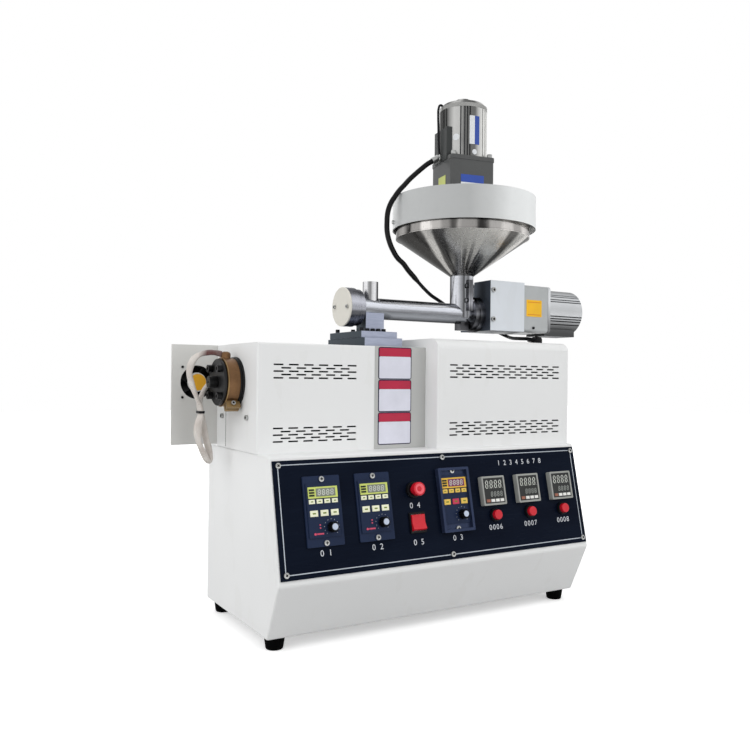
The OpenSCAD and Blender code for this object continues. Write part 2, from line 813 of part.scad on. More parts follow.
// The hopper's neck, cone and straight rim, welded into one shell
module hopper_spigot() {
    color("silver") translate([hop_x, axis_y, 0]) rotate_extrude($fn = 128) difference() {
        union() {
            translate([0, tube_top - 12]) square([neck_r, 13]);
            translate([0, tube_top]) square([tube_r, cone_z - tube_top]);
        }
        translate([0, tube_top - 13]) square([neck_r - hopper_wall, 30]);
    }
}

module hopper() {
    color("silver") translate([hop_x, axis_y, 0]) rotate_extrude($fn = 128)
        polygon([[neck_r - hopper_wall, cone_z], [tube_r, cone_z], [hopper_r, rim_z],
            [hopper_r - hopper_wall, rim_z]]);
}

module hopper_rim() {
    color("silver") translate([hop_x, axis_y, 0]) rotate_extrude($fn = 128)
        translate([hopper_r - hopper_wall, rim_z]) square([hopper_wall, rim_h]);
}

module hopper_lid() {
    color("white") difference() {
        translate([lid_x, axis_y, stir_z - lid_h]) cylinder(r = lid_r, h = lid_h, $fn = 128);
        translate([lid_x, axis_y, stir_z - lid_h - 1])
            cylinder(r = lid_r - lid_t, h = lid_h - lid_t + 1, $fn = 128);
    }
    // screws through the skirt, up to the rim
    color("silver") for (a = [lid_screw, lid_screw + 180]) intersection() {
        translate([lid_x, axis_y, stir_z - lid_h + 12]) rotate(a) rotate([0, 90, 0])
            cylinder(r = 4, h = lid_r + 3, $fn = 32);
        difference() {
            translate([lid_x, axis_y, stir_z - lid_h]) cylinder(r = lid_r + 5, h = lid_h, $fn = 128);
            translate([hop_x, axis_y, stir_z - lid_h - 1])
                cylinder(r = hopper_r + seat, h = lid_h, $fn = 128);
        }
    }
}

// Frame of the stirrer drive
module stirrer() {
    translate([hop_x, axis_y, 0]) rotate(stir_turn) children();
}

module stirrer_gear_case() {
    color("gray") stirrer() {
        translate([0, 0, stir_z]) linear_extrude(stir_h - gear_flange) rounded(stir_s - 2, stir_s - 2, 6);
        translate([0, 0, motor_z - gear_flange]) linear_extrude(gear_flange) rounded(stir_s, stir_s, 6);
    }
}

module stirrer_motor() {
    color("darkgray") stirrer() translate([0, 0, motor_z]) {
        cylinder(r = stir_r, h = stir_motor_h - dome, $fn = 96);
        translate([0, 0, stir_motor_h - dome])
            cylinder(r1 = stir_r, r2 = stir_r - 6, h = 6, $fn = 96);
        translate([0, 0, stir_motor_h - dome + 6])
            cylinder(r1 = stir_r - 6, r2 = top_cap_r + 6, h = dome - 6, $fn = 96);
        translate([0, 0, stir_motor_h]) cylinder(r = top_cap_r, h = top_cap_h, $fn = 64);
    }
}

module terminal_box() {
    color("dimgray") difference() {
        stirrer() translate([-box_out, -box_w / 2, box_z]) cube([box_out - 30, box_w, box_h]);
        stirrer() translate([0, 0, motor_z]) cylinder(r = stir_r, h = box_h, $fn = 96);
        stirrer() translate([0, 0, motor_z - gear_flange]) linear_extrude(gear_flange)
            rounded(stir_s, stir_s, 6);
    }
}

module conduit_gland() {
    color("black") stirrer() {
        rod(-box_out - 4, 0, gland_z, 7, 4, 48);
        translate([-box_out - 4, 0, gland_z]) rotate([0, -30, 0]) rod(-gland_l + 4, 0, 0, 6, gland_l - 4, 48);
    }
}

// Fittings on the drive cover's top, one for each lead
module cable_fittings() {
    color("black") {
        end1 = cable_path[len(cable_path) - 1];
        translate([end1[0] + 4, end1[1] - 4, drive_top]) {
            cylinder(r = 7, h = end1[2] - drive_top, $fn = 48);
            translate([0, 0, end1[2] - drive_top]) sphere(r = 7, $fn = 48);
        }
        end2 = feeder_path[len(feeder_path) - 1];
        translate([end2[0] + 1, end2[1] - 5, drive_top]) {
            cylinder(r = 6, h = end2[2] - drive_top, $fn = 48);
            translate([0, 0, end2[2] - drive_top]) sphere(r = 6, $fn = 48);
        }
    }
}

module stirrer_conduit() { color("black") sweep(conduit_path, conduit_r, 10, [1, 1, -1]); }
module stirrer_cable() { color("black") sweep(cable_path, cable_r, 8, [0, 0, 1]); }
module motor_lead() { color("black") sweep(motor_path, motor_lead_r, 8, [0, 1, 0]); }
module feeder_lead() { color("black") sweep(feeder_path, feeder_lead_r, 8, [1, 1, 0]); }
module heater_lead() { color("white") sweep(heater_path, heater_lead_r, 8, [0, 1, 0]); }

module lead_tie() {
    color("black") translate(tie_at) difference() {
        linear_extrude(4) rounded(10.4, 18.4, 4);
        translate([0, 0, -1]) linear_extrude(6) rounded(7, 15, 3);
    }
}

// Entry for the mains cord, on the back
module cable_gland() {
    color("black") translate([left_x + body_l - 60, front_y + body_d, bottom_z + 45])
        rotate([-90, 0, 0]) {
            cylinder(r = 11, h = 4, $fn = 48);
            cylinder(r = 8, h = 9, $fn = 48);
        }
}

cabinet();
feet();
control_panel();
speed_controllers();
speed_knob_1();
speed_knob_2();
speed_knob_3();
temperature_controllers();
button_collars();
push_button_1();
push_button_2();
push_button_3();
stop_base();
stop_button();
switch_bezel();
power_rocker();
heater_cover();
heater_cover_rear();
middle_cover();
drive_cover();
fan_plate();
fan_frame();
fan_rotor();
die_body();
heater_band();
die_flange();
die_screws();
die_nozzle();
lower_feed_plate();
upper_feed_plate();
support_block();
feeder_barrel();
end_housing();
end_cap();
vent_pipe();
feeder_flange();
drive_bracket();
coupling_cover();
feeder_gear_case();
feeder_motor();
feed_tube();
tube_clamp();
hopper_spigot();
hopper();
hopper_rim();
hopper_lid();
stirrer_gear_case();
stirrer_motor();
terminal_box();
conduit_gland();
cable_fittings();
stirrer_conduit();
stirrer_cable();
motor_lead();
feeder_lead();
heater_lead();
lead_tie();
cable_gland();
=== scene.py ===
"""Desktop filament extruder: the finishes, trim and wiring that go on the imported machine."""
from math import atan2, cos, pi, radians, sin

import bpy
from mathutils import Matrix, Vector


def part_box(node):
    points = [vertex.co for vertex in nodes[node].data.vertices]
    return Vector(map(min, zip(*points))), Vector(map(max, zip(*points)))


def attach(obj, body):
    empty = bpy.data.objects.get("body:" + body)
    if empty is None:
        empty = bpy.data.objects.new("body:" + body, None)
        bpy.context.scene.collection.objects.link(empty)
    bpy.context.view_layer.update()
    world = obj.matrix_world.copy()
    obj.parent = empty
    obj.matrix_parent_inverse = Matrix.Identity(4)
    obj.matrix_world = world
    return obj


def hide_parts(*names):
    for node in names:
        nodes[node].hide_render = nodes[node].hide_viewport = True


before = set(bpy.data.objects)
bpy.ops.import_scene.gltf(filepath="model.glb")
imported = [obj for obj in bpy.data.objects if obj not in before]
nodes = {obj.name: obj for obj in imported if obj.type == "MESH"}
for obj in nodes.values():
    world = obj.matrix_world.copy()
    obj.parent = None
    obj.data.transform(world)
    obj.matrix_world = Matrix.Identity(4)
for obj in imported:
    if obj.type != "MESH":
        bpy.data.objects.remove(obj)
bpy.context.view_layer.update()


# ---- Camera -----------------------------------------------------------------
# A plain camera on a stand in front of the machine's left end, level with the
# top of the heater cover and turned towards the middle of the machine.
camera = bpy.data.objects.new("studio_camera", bpy.data.cameras.new("studio_camera"))
bpy.context.collection.objects.link(camera)
camera.data.lens, camera.data.sensor_width = 37.99, 36
camera.location = (-0.7819, -1.1684, 0.4004)
camera.rotation_euler = (radians(90.236), radians(-0.565), radians(-30.846))
bpy.context.scene.camera = camera


# ---- Heater lead ------------------------------------------------------------
# Two leads of the band heater in one sleeve of woven glass fibre, flattened and
# off-white. It leaves the heater's brass cover, hangs in a loop beside the
# cabinet's end, is held to itself by a black tie and goes in behind the cover.
class Wire:
    """A number in a material. Python's operators on it add Math nodes."""

    def __init__(self, tree, socket):
        self.tree, self.socket = tree, socket

    def math(self, operation, first, second=0.0):
        node = self.tree.nodes.new("ShaderNodeMath")
        node.operation = operation
        for socket, value in zip(node.inputs, (first, second)):
            if isinstance(value, Wire):
                self.tree.links.new(value.socket, socket)
            else:
                socket.default_value = value
        return Wire(self.tree, node.outputs[0])

    def __add__(self, other): return self.math("ADD", self, other)
    def __radd__(self, other): return self.math("ADD", other, self)
    def __sub__(self, other): return self.math("SUBTRACT", self, other)
    def __rsub__(self, other): return self.math("SUBTRACT", other, self)
    def __mul__(self, other): return self.math("MULTIPLY", self, other)
    def __rmul__(self, other): return self.math("MULTIPLY", other, self)
    def __gt__(self, other): return self.math("GREATER_THAN", self, other)
    def __lt__(self, other): return self.math("LESS_THAN", self, other)


class Finish:
    """A material on one Principled shader."""

    def __init__(self, name, constants, world=None):
        self.made = world or bpy.data.materials.new(name)
        self.made.use_nodes = True
        self.tree = self.made.node_tree
        self.shader = self.tree.nodes["Background" if world else "Principled BSDF"]
        for socket, value in constants.items():
            self.shader.inputs[socket].default_value = value

    def node(self, kind, settings=None, sockets=None, output=0):
        """Adds a node: its settings first, then the values or links of its sockets."""
        node = self.tree.nodes.new(kind)
        for key, value in (settings or {}).items():
            if key == "stops":
                ramp = node.color_ramp.elements
                ramp.remove(ramp[1])
                for number, (place, colour) in enumerate(value):
                    stop = ramp[0] if number == 0 else ramp.new(place)
                    stop.position, stop.color = place, (*colour[:3], 1)
            else:
                setattr(node, key, value)
        for key, value in (sockets or {}).items():
            if isinstance(value, Wire):
                self.tree.links.new(value.socket, node.inputs[key])
            else:
                node.inputs[key].default_value = value
        return Wire(self.tree, node.outputs[output])

    def place(self, at=(0, 0, 0), turn=(0, 0, 0), stretch=(1, 1, 1)):
        """The machine's own coordinates, moved, turned or stretched for a pattern."""
        point = self.node("ShaderNodeTexCoord", output="Object")
        if (at, turn, stretch) == ((0, 0, 0), (0, 0, 0), (1, 1, 1)):
            return point
        sockets = {"Vector": point, "Location": at, "Rotation": turn, "Scale": stretch}
        return self.node("ShaderNodeMapping", None, sockets)

    def noise(self, scale, detail=2, stretch=(1, 1, 1)):
        sockets = {"Vector": self.place(stretch=stretch), "Scale": scale, "Detail": detail}
        return self.node("ShaderNodeTexNoise", None, sockets)

    def mix(self, share, first, second):
        """A colour between two colours."""
        return self.node("ShaderNodeMix", {"data_type": "RGBA"}, {0: share, 6: first, 7: second}, 2)

    def surface(self, colour, rough):
        """Drives the shader's colour and roughness."""
        self.drive("Base Color", colour)
        self.drive("Roughness", rough)

    def drive(self, socket, wire):
        self.tree.links.new(wire.socket, self.shader.inputs[socket])

    def bump(self, height, strength, depth):
        sockets = {"Height": height, "Strength": strength, "Distance": depth}
        self.drive("Normal", self.node("ShaderNodeBump", None, sockets))


def tint(red, green, blue, k=1.0):
    """A colour off a colour card, 0 to 255, made lighter or darker by k."""
    return (*(k * ((c / 255 + 0.055) / 1.055) ** 2.4 for c in (red, green, blue)), 1)


def shade(colour, *k):
    """A colour made lighter or darker, by one factor or by three."""
    return [part * factor for part, factor in zip(colour[:3], k * 3 if len(k) == 1 else k)] + [1]


def only(*pieces):
    """Selects these pieces and nothing else."""
    bpy.ops.object.select_all(action="DESELECT")
    for piece in pieces:
        piece.select_set(True)
    bpy.context.view_layer.objects.active = pieces[0]


def as_mesh(piece):
    """Turns a curve or words into a mesh."""
    only(piece)
    bpy.ops.object.convert(target="MESH")
    return bpy.context.object


def move(piece, spot):
    """Moves a piece by a matrix, and works that into its points."""
    only(piece)
    piece.matrix_world = spot @ piece.matrix_world
    bpy.ops.object.transform_apply()
    return piece


def smooth(piece, angle):
    """Shades a piece smooth, but for edges sharper than an angle."""
    only(piece)
    bpy.ops.object.shade_smooth_by_angle(angle=radians(angle))
    return piece


def joined(pieces):
    """Makes one piece of several."""
    only(*pieces)
    bpy.ops.object.join()
    return bpy.context.object


def settle(piece, name, *finishes):
    """Names a piece, puts its origin at the machine's and gives it its finishes."""
    only(piece)
    bpy.ops.object.transform_apply()
    piece.name = piece.data.name = name
    for finish in finishes:
        piece.data.materials.append(finish)
    return piece


def fit(piece, slot, *stands_for, body="machine"):
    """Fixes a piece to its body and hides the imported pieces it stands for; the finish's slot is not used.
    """
    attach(piece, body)
    if stands_for:
        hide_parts(*stands_for)
    return piece


def route(name, points, radius, resolution=6):
    """A round cable along points on one smooth line."""
    line = bpy.data.curves.new(name, "CURVE")
    line.dimensions, line.resolution_u = "3D", resolution
    line.bevel_depth, line.bevel_resolution, line.use_fill_caps = radius, 3, True
    spline = line.splines.new("BEZIER")
    spline.bezier_points.add(len(points) - 1)
    for knot, point in zip(spline.bezier_points, points):
        knot.co = Vector(point) / 1000
        knot.handle_left_type = knot.handle_right_type = "AUTO"
    cable = bpy.data.objects.new(name, line)
    bpy.context.collection.objects.link(cable)
    return cable


heater_points = [
    (-352, 22, 436), (-362, 26, 438), (-371, 32, 438), (-381, 38, 435), (-389, 41, 429), (-394, 43, 419),
    (-396, 45, 407), (-393, 46, 393), (-388, 47, 379), (-382, 47, 365), (-377, 47, 351), (-376, 47, 340),
    (-379, 47, 328), (-381, 47, 315), (-380, 47, 301), (-375, 47, 287), (-369, 48, 275), (-363, 50, 266),
    (-359, 53, 267), (-358, 55, 275), (-361, 55, 288), (-365, 55, 302), (-369, 55, 316), (-372, 55, 330),
    (-374, 55, 343), (-376, 55, 356), (-372, 57, 370), (-363, 61, 384), (-350, 66, 393), (-337, 71, 398),
    (-325, 72, 398)]
centre = as_mesh(route("sleeve_centre", heater_points, 0))
bpy.data.objects.remove(centre)
bpy.ops.curve.primitive_bezier_circle_add(radius=1)
flat = bpy.context.object
flat.data.resolution_u = 5
flat.scale = (0.0036, 0.0056, 1)
bpy.ops.object.transform_apply()
heater_sleeve = route("heater_sleeve", heater_points, 0)
heater_sleeve.data.bevel_mode, heater_sleeve.data.bevel_object = "OBJECT", flat
for number, knot in enumerate(heater_sleeve.data.splines[0].bezier_points):
    knot.tilt = 0.5 + 0.5 * sin(number * 0.9) + 0.3 * sin(number * 2.3)
    knot.radius = (1.16 if knot.co.z < 0.335 else 0.96) + 0.04 * sin(number * 1.7)
heater_sleeve = as_mesh(heater_sleeve)
bpy.data.objects.remove(flat)
bpy.ops.object.shade_smooth()

glass_sleeve = Finish("woven_glass_sleeve", {"Roughness": 0.85, "Sheen Weight": 0.3})
weave = glass_sleeve.node("ShaderNodeTexWave", {"wave_type": "BANDS", "bands_direction": "DIAGONAL"},
                          {"Vector": glass_sleeve.place(), "Scale": 420, "Distortion": 1.5}, 1)
soil = glass_sleeve.noise(45, 3)
clean = glass_sleeve.mix(weave, tint(206, 200, 194), tint(240, 237, 232))
from_exit = glass_sleeve.node("ShaderNodeVectorMath", {"operation": "DISTANCE"},
                              {0: glass_sleeve.place(), 1: Vector(heater_points[0]) / 1000}, 1)
scorched = glass_sleeve.node("ShaderNodeMapRange", None,
                             {"Value": from_exit, "From Min": 0.036, "From Max": 0.022})
used = glass_sleeve.mix(soil * soil * 1.2, clean, tint(176, 160, 150))
glass_sleeve.drive("Base Color", glass_sleeve.mix(scorched * (soil * 0.8 + 0.6), used, tint(84, 48, 46)))
glass_sleeve.bump(weave, 0.5, 0.0004)
settle(heater_sleeve, "heater_sleeve", glass_sleeve.made)
fit(heater_sleeve, "white_sleeve", "heater_lead")


# ---- Stirrer cable ----------------------------------------------------------
# The stirrer motor's cable: a black conduit from the terminal box, taped where
# the thinner rubber cable comes out of it, down to a fitting on the drive cover.
# The thin leads from the motor's cap and from the feeder's motor are the same rubber.
def moulded(name, colour, rough, grain=0.15, extra=None):
    """Moulded rubber or plastic: a slight cloud in its colour and a fine grain."""
    stuff = Finish(name, {"Specular IOR Level": 0.14 if max(colour[:3]) < 0.1 else 0.4, **(extra or {})})
    cloud = stuff.noise(35, 3)
    stuff.surface(stuff.mix(cloud, shade(colour, 0.86), shade(colour, 1.1)), cloud * 0.14 + (rough - 0.07))
    stuff.bump(stuff.noise(1400, 2), grain, 0.0002)
    return stuff.made


cable_rubber = moulded("cable_rubber", tint(20, 21, 24), 0.42)
black_tape = moulded("black_tape", tint(13, 13, 15), 0.3)
conduit_points = [
    (57.1, 33.4, 803.7), (47, 36, 797.5), (34, 39, 786.5), (21, 40, 775), (9, 40, 764), (-3, 38, 752),
    (-16, 36, 739), (-25, 36, 727), (-32, 38, 715), (-36, 41, 700), (-36, 44, 682), (-34, 46, 664),
    (-28, 47, 646), (-19, 49, 632), (-8, 51, 620), (6, 53, 611), (18, 55, 600), (31, 57, 590)]
cable_points = [
    (31, 57, 590), (45, 59, 579), (60, 61, 568), (76, 63, 558), (92, 65, 551), (110, 68, 543),
    (128, 72, 533),
    (147, 75, 522), (170, 75, 514), (195, 75, 508), (220, 75, 503), (243, 75, 498), (258, 73, 492),
    (266, 66, 487),
    (262, 52, 484), (257, 36, 482), (253, 20, 481), (250, 4, 480), (250, -12, 479), (253, -22, 477.5),
    (255, -28, 476)]
feeder_points = [(303.5, 22, 488), (302.5, 22, 483), (298.5, 22, 479), (291.5, 21, 477), (283, 18, 477),
                 (273, 11, 477), (266, 0, 477), (262, -10, 477)]
motor_points = [(80, 34, 907), (72.5, 34.5, 909.5), (68, 34, 902), (67, 33.5, 888), (67.2, 33, 870),
                (67.4, 32.5, 852), (67.6, 32, 834), (68.4, 31, 815)]
way = (Vector(cable_points[1]) - Vector(conduit_points[-2])).normalized()
wraps = [(-15, 0.98), (-13.5, 1.1), (-8, 1.16), (-3, 1.08), (2, 1.16), (8, 1.04), (13, 0.9), (15, 0.8)]
tape_joint = route("taped_joint", [Vector(conduit_points[-1]) + way * reach for reach, wide in wraps],
                   0.0043)
for knot, (reach, wide) in zip(tape_joint.data.splines[0].bezier_points, wraps):
    knot.radius = wide
tape_joint = smooth(as_mesh(tape_joint), 40)
settle(tape_joint, "taped_joint", black_tape)
fit(tape_joint, "rubber")
wiring = {}
for name, points, radius, node in (
        ("stirrer_conduit_sleeve", conduit_points, 0.0048, "stirrer_conduit"),
        ("stirrer_rubber_cable", cable_points, 0.0034, "stirrer_cable"),
        ("motor_cap_wire", motor_points, 0.0022, "motor_lead"),
        ("feeder_motor_wire", feeder_points, 0.003, "feeder_lead")):
    wiring[node] = route(name, points, radius)
    wiring[node].data.materials.append(black_tape if node == "stirrer_conduit" else cable_rubber)
    fit(wiring[node], "rubber", node)


# ---- Cabinet ----------------------------------------------------------------
# One folded shell of sheet steel in a white baked powder coat, bent at the
# crease in front. A rear panel closes it, held by screws.
def made():
    """The part just added, its place, turn and size worked into its points."""
    bpy.ops.object.transform_apply()
    return bpy.context.object


def block(low, high):
    """A block between two corners."""
    low, high = Vector(low), Vector(high)
    bpy.ops.mesh.primitive_cube_add(size=1, location=(low + high) / 2, scale=high - low)
    return made()


def drum(vertices, radius, depth, at=(0, 0, 0), turn=(0, 0, 0)):
    """A round part about the z axis, or turned away from it."""
    bpy.ops.mesh.primitive_cylinder_add(vertices=vertices, radius=radius, depth=depth, location=at,
                                        rotation=turn)
    return made()


def modify(piece, kind, **settings):
    """Adds a modifier to a piece and applies it."""
    only(piece)
    change = piece.modifiers.new("change", kind)
    for key, value in settings.items():
        setattr(change, key, value)
    bpy.ops.object.modifier_apply(modifier="change")
    return piece


def carve(piece, test, *insets):
    """Insets the faces that pass a test: a margin and a depth for each step."""
    pick(piece, test)
    for margin, depth in insets:
        bpy.ops.mesh.inset(thickness=margin, depth=depth)
    bpy.ops.object.mode_set(mode="OBJECT")


def ease(piece, width, steps=3, limit=35):
    """Rounds a piece's sharp edges, and keeps its flat faces flat to the light."""
    modify(piece, "BEVEL", width=width, segments=steps, limit_method="ANGLE", angle_limit=radians(limit))
    return modify(smooth(piece, 50), "WEIGHTED_NORMAL", keep_sharp=True)


def card(width, height, thick, corner, edge=0.0001):
    """A thin plate with rounded corners, flat at the origin, in metres."""
    bpy.ops.mesh.primitive_plane_add(size=1)
    plate = bpy.context.object
    plate.scale = (width, height, 1)
    bpy.ops.object.transform_apply()
    bpy.ops.object.mode_set(mode="EDIT")
    bpy.ops.mesh.select_all(action="SELECT")
    bpy.ops.mesh.bevel(offset=corner, segments=4, affect="VERTICES")
    bpy.ops.mesh.select_all(action="SELECT")
    bpy.ops.mesh.extrude_region_move(TRANSFORM_OT_translate={"value": (0, 0, thick)})
    bpy.ops.mesh.select_all(action="SELECT")
    bpy.ops.mesh.normals_make_consistent(inside=False)
    bpy.ops.object.mode_set(mode="OBJECT")
    return ease(plate, edge, 1, 60)


def hoop(radius, width, thick, spot):
    """A flat ring of metal round an axis, with eased edges."""
    bpy.ops.mesh.primitive_cylinder_add(vertices=96, radius=radius, depth=width, end_fill_type="NOTHING",
                                        location=(0, 0, width / 2))
    band = modify(made(), "SOLIDIFY", thickness=thick, offset=0)
    return move(ease(band, min(width, thick) * 0.35, 2, 60), spot)


def pick(piece, test):
    """Opens a piece in edit mode with the faces selected that pass a test."""
    only(piece)
    bpy.ops.object.mode_set(mode="EDIT")
    bpy.ops.mesh.select_mode(type="FACE")
    bpy.ops.mesh.select_all(action="DESELECT")
    bpy.ops.object.mode_set(mode="OBJECT")
    for face in piece.data.polygons:
        face.select = test(face.center, face.normal)
    bpy.ops.object.mode_set(mode="EDIT")


def step(piece, test, margin, move):
    """Insets a face and moves its middle, as a rebate or a raised pad."""
    pick(piece, test)
    bpy.ops.mesh.inset(thickness=margin, depth=0)
    bpy.ops.mesh.extrude_region_move(TRANSFORM_OT_translate={"value": move})
    bpy.ops.object.mode_set(mode="OBJECT")
    return piece


def paint(piece, number, test):
    """Gives the faces that pass a test another of the piece's finishes."""
    for face in piece.data.polygons:
        if test(face.center, face.normal):
            face.material_index = number


def row(master, name, spots, *finishes):
    """Copies a small part to each place and joins the copies into one piece."""
    copies = []
    for spot in spots:
        each = master.copy()
        each.data = master.data.copy()
        bpy.context.collection.objects.link(each)
        each.matrix_world = spot
        copies.append(each)
    return settle(joined(copies), name, *finishes)


def repeat(master, name, slot, spots, *finishes):
    """Copies a small part to each place, as one piece fixed to the machine."""
    return fit(row(master, name, spots, *finishes), slot)


def facing(at, axis, size=1.0, spin=0.0):
    """The place of a small part that points along an axis."""
    return (Matrix.Translation(Vector(at)) @ Vector(axis).to_track_quat("Z", "Y").to_matrix().to_4x4()
            @ Matrix.Rotation(spin, 4, "Z") @ Matrix.Scale(size, 4))


def coated(name, colour, rough=0.42):
    """Baked powder coat: faint clouds, handling marks and a fine orange peel."""
    coat = Finish(name, {"IOR": 1.5})
    cloud, marks = coat.noise(4, 3), coat.noise(28, 5, (1, 1, 0.35))
    fresh = coat.mix(cloud, shade(colour, 0.965), shade(colour, 1.02))
    coat.drive("Base Color",
               coat.mix((marks > 0.62) * 0.22 * cloud, fresh, shade(colour, 0.86, 0.85, 0.82)))
    coat.drive("Roughness", marks * 0.2 + (rough - 0.1))
    coat.bump(coat.noise(750, 2), 0.12, 0.0004)
    return coat.made


white_coat = coated("white_powder_coat", tint(232, 233, 233))
low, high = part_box("cabinet")
crease, run_back = 0.085, 0.04
shell = block(low, high)
for corner, normal in (((0, low.y, low.z + crease), (0, -crease, -run_back)),
                       ((0, low.y, low.z + crease), (0, crease - (high.z - low.z), run_back))):
    pick(shell, lambda centre, normal: True)
    bpy.ops.mesh.bisect(plane_co=corner, plane_no=normal, use_fill=True, clear_outer=True)
    bpy.ops.object.mode_set(mode="OBJECT")
ease(shell, 0.0032, 4, 20)
settle(shell, "cabinet_shell", white_coat)
fit(shell, "white_coat", "cabinet")

steel_screw = Finish("plated_screw", {"Metallic": 1.0})
steel_screw.drive("Base Color",
                  steel_screw.mix(steel_screw.noise(260, 2), tint(126, 127, 127), tint(206, 207, 205)))
steel_screw.drive("Roughness", steel_screw.noise(400) * 0.2 + 0.2)
steel_screw = steel_screw.made
# The dark in the screws' recesses is painted shade.
recess_painted_shade = moulded("recess_painted_shade", tint(20, 20, 21), 0.6, 0.05)
bpy.ops.mesh.primitive_cylinder_add(vertices=20, radius=1, depth=0.7, location=(0, 0, 0.2))
domed_screw = bpy.context.object
carve(domed_screw, lambda centre, normal: normal.z > 0.5, (0.3, 0.14), (0.35, 0.06))
bpy.ops.object.transform_apply()
for turn in (0, pi / 2):
    bpy.ops.mesh.primitive_cube_add(size=1, location=(0, 0, 0.75), rotation=(0, 0, turn),
                                    scale=(1.1, 0.36, 0.7))
    cutter = bpy.context.object
    modify(domed_screw, "BOOLEAN", operation="DIFFERENCE", object=cutter)
    bpy.data.objects.remove(cutter)
smooth(domed_screw, 40)
for finish in (steel_screw, recess_painted_shade):
    domed_screw.data.materials.append(finish)
# The recess is painted dark as shade.
paint(domed_screw, 1, lambda centre, normal: centre.xy.length < 0.6 and centre.z < 0.66)

rear_panel = block((low.x + 0.02, high.y - 0.0006, low.z + 0.02),
                   (high.x - 0.02, high.y + 0.0012, high.z - 0.02))
ease(rear_panel, 0.0005, 2)
settle(rear_panel, "rear_panel", white_coat)
fit(rear_panel, "white_coat")
spots = [facing((x, high.y + 0.0012, z), (0, 1, 0), 0.0035, 0.3 * x)
         for x in (low.x + 0.03, -0.0275, high.x - 0.03) for z in (low.z + 0.03, high.z - 0.03)]
repeat(domed_screw, "rear_panel_screws", "turned_steel", spots)


# ---- Feet -------------------------------------------------------------------
# Four tapered feet of black rubber, bolted under the cabinet through a steel
# washer. The rubber is dull, with a worn rounded edge where it stands.
def cast(node, name, width, steps=3, limit=35):
    """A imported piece's own shape with its triangles joined and its sharp edges rounded."""
    piece = bpy.data.objects.new(name, nodes[node].data.copy())
    bpy.context.collection.objects.link(piece)
    piece.data.materials.clear()
    only(piece)
    bpy.ops.mesh.customdata_custom_splitnormals_clear()
    bpy.ops.object.mode_set(mode="EDIT")
    bpy.ops.mesh.select_all(action="SELECT")
    bpy.ops.mesh.remove_doubles(threshold=0.00001)
    bpy.ops.mesh.dissolve_limited(angle_limit=radians(0.4))
    bpy.ops.object.mode_set(mode="OBJECT")
    return ease(piece, width, steps, limit) if width else piece


def dress(node, name, slot, width, steps, *finishes, body="machine"):
    """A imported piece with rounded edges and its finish, in place of the plain one."""
    return fit(settle(cast(node, name, width, steps), name, *finishes), slot, node, body=body)


foot_rubber = moulded("foot_rubber", tint(4, 4, 5), 0.7, 0.4, {"Specular IOR Level": 0.02})
dress("feet", "rubber_feet", "rubber", 0.002, 3, foot_rubber)


# ---- Control panel ----------------------------------------------------------
# A plate lacquered in a glossy near-black navy, with a fine silver line just
# inside its edge and six domed screws on that line. Plain numbers are printed
# in white under the controls.
slope = atan2(high.z - low.z - crease, run_back)
panel = Matrix.Translation((low.x, low.y, low.z + crease)) @ Matrix.Rotation(slope, 4, "X")


def mm(*values):
    return [value / 1000 for value in values]


def on_panel(piece, u=0, v=0, w=0):
    """Moves a piece made flat at the origin to its place on the sloping panel, in millimetres."""
    return move(piece, panel @ Matrix.Translation(mm(u, v, w)))


def panel_spot(u, v, w, size=1.0, spin=0.0):
    return panel @ Matrix.Translation(mm(u, v, w)) @ Matrix.Rotation(spin, 4, "Z") @ Matrix.Scale(size, 4)


def lacquered(name, dark, light, rough):
    """Gloss lacquer that shows long wiping marks across it."""
    gloss = Finish(name, {"Specular IOR Level": 0.03})
    wiped = gloss.noise(9, 4, (1, 3, 3))
    gloss.surface(gloss.mix(wiped, dark, light), gloss.noise(30, 5, (1, 6, 6)) * 0.2 + (rough - 0.08))
    gloss.bump(gloss.noise(60, 2), 0.04, 0.0006)
    return gloss.made


navy = lacquered("navy_lacquer", tint(5, 10, 24), tint(19, 27, 42), 0.24)
dress("control_panel", "panel_plate", "navy_panel", 0.0005, 2, navy)

silver_print = moulded("silver_print", tint(196, 204, 214), 0.35, 0.05)
border = card(0.5773, 0.1573, 0.0003, 0.006)
pick(border, lambda centre, normal: abs(normal.z) > 0.9)
bpy.ops.mesh.inset(thickness=0.0013, depth=0)
bpy.ops.mesh.delete(type="FACE")
bpy.ops.object.mode_set(mode="OBJECT")
modify(border, "SOLIDIFY", thickness=0.0001)
on_panel(border, 300, 93.5, 1.9)
settle(border, "panel_border_line", silver_print)
fit(border, "navy_panel")
spots = [panel_spot(u, v, 2, 0.0042, 0.7 + u) for u in (12.5, 303, 587.5) for v in (16, 171)]
repeat(domed_screw, "panel_screws", "turned_steel", spots)


def printed(name, words, size, u, v, w, finish):
    """Figures printed on the panel, centred on a place."""
    bpy.ops.object.text_add()
    text = bpy.context.object
    text.data.body, text.data.size, text.data.extrude = words, size / 1000, 0.00005
    text.data.space_character = text.data.space_word = 1.25
    text.data.align_x, text.data.align_y = "CENTER", "CENTER"
    return settle(on_panel(as_mesh(text), u, v, w), name, finish)


white_print = moulded("white_print", tint(214, 218, 224), 0.5, 0.05)
labels = [printed("label", words, size, u, v, 2.05, white_print) for words, size, u, v in (
    ("0 1", 12.5, 78.5, 40.5), ("0 2", 12.5, 166, 40.5), ("0 3", 12.5, 317, 40.5), ("0 4", 12.5, 241, 97.5),
    ("0 5", 12.5, 241, 40.5), ("0006", 12, 397, 50.5), ("0007", 12, 473, 50.5), ("0008", 12, 548, 50.5),
    ("1 2 3 4 5 6 7 8", 12, 466, 156))]
fit(settle(joined(labels), "panel_numbers"), "navy_panel")


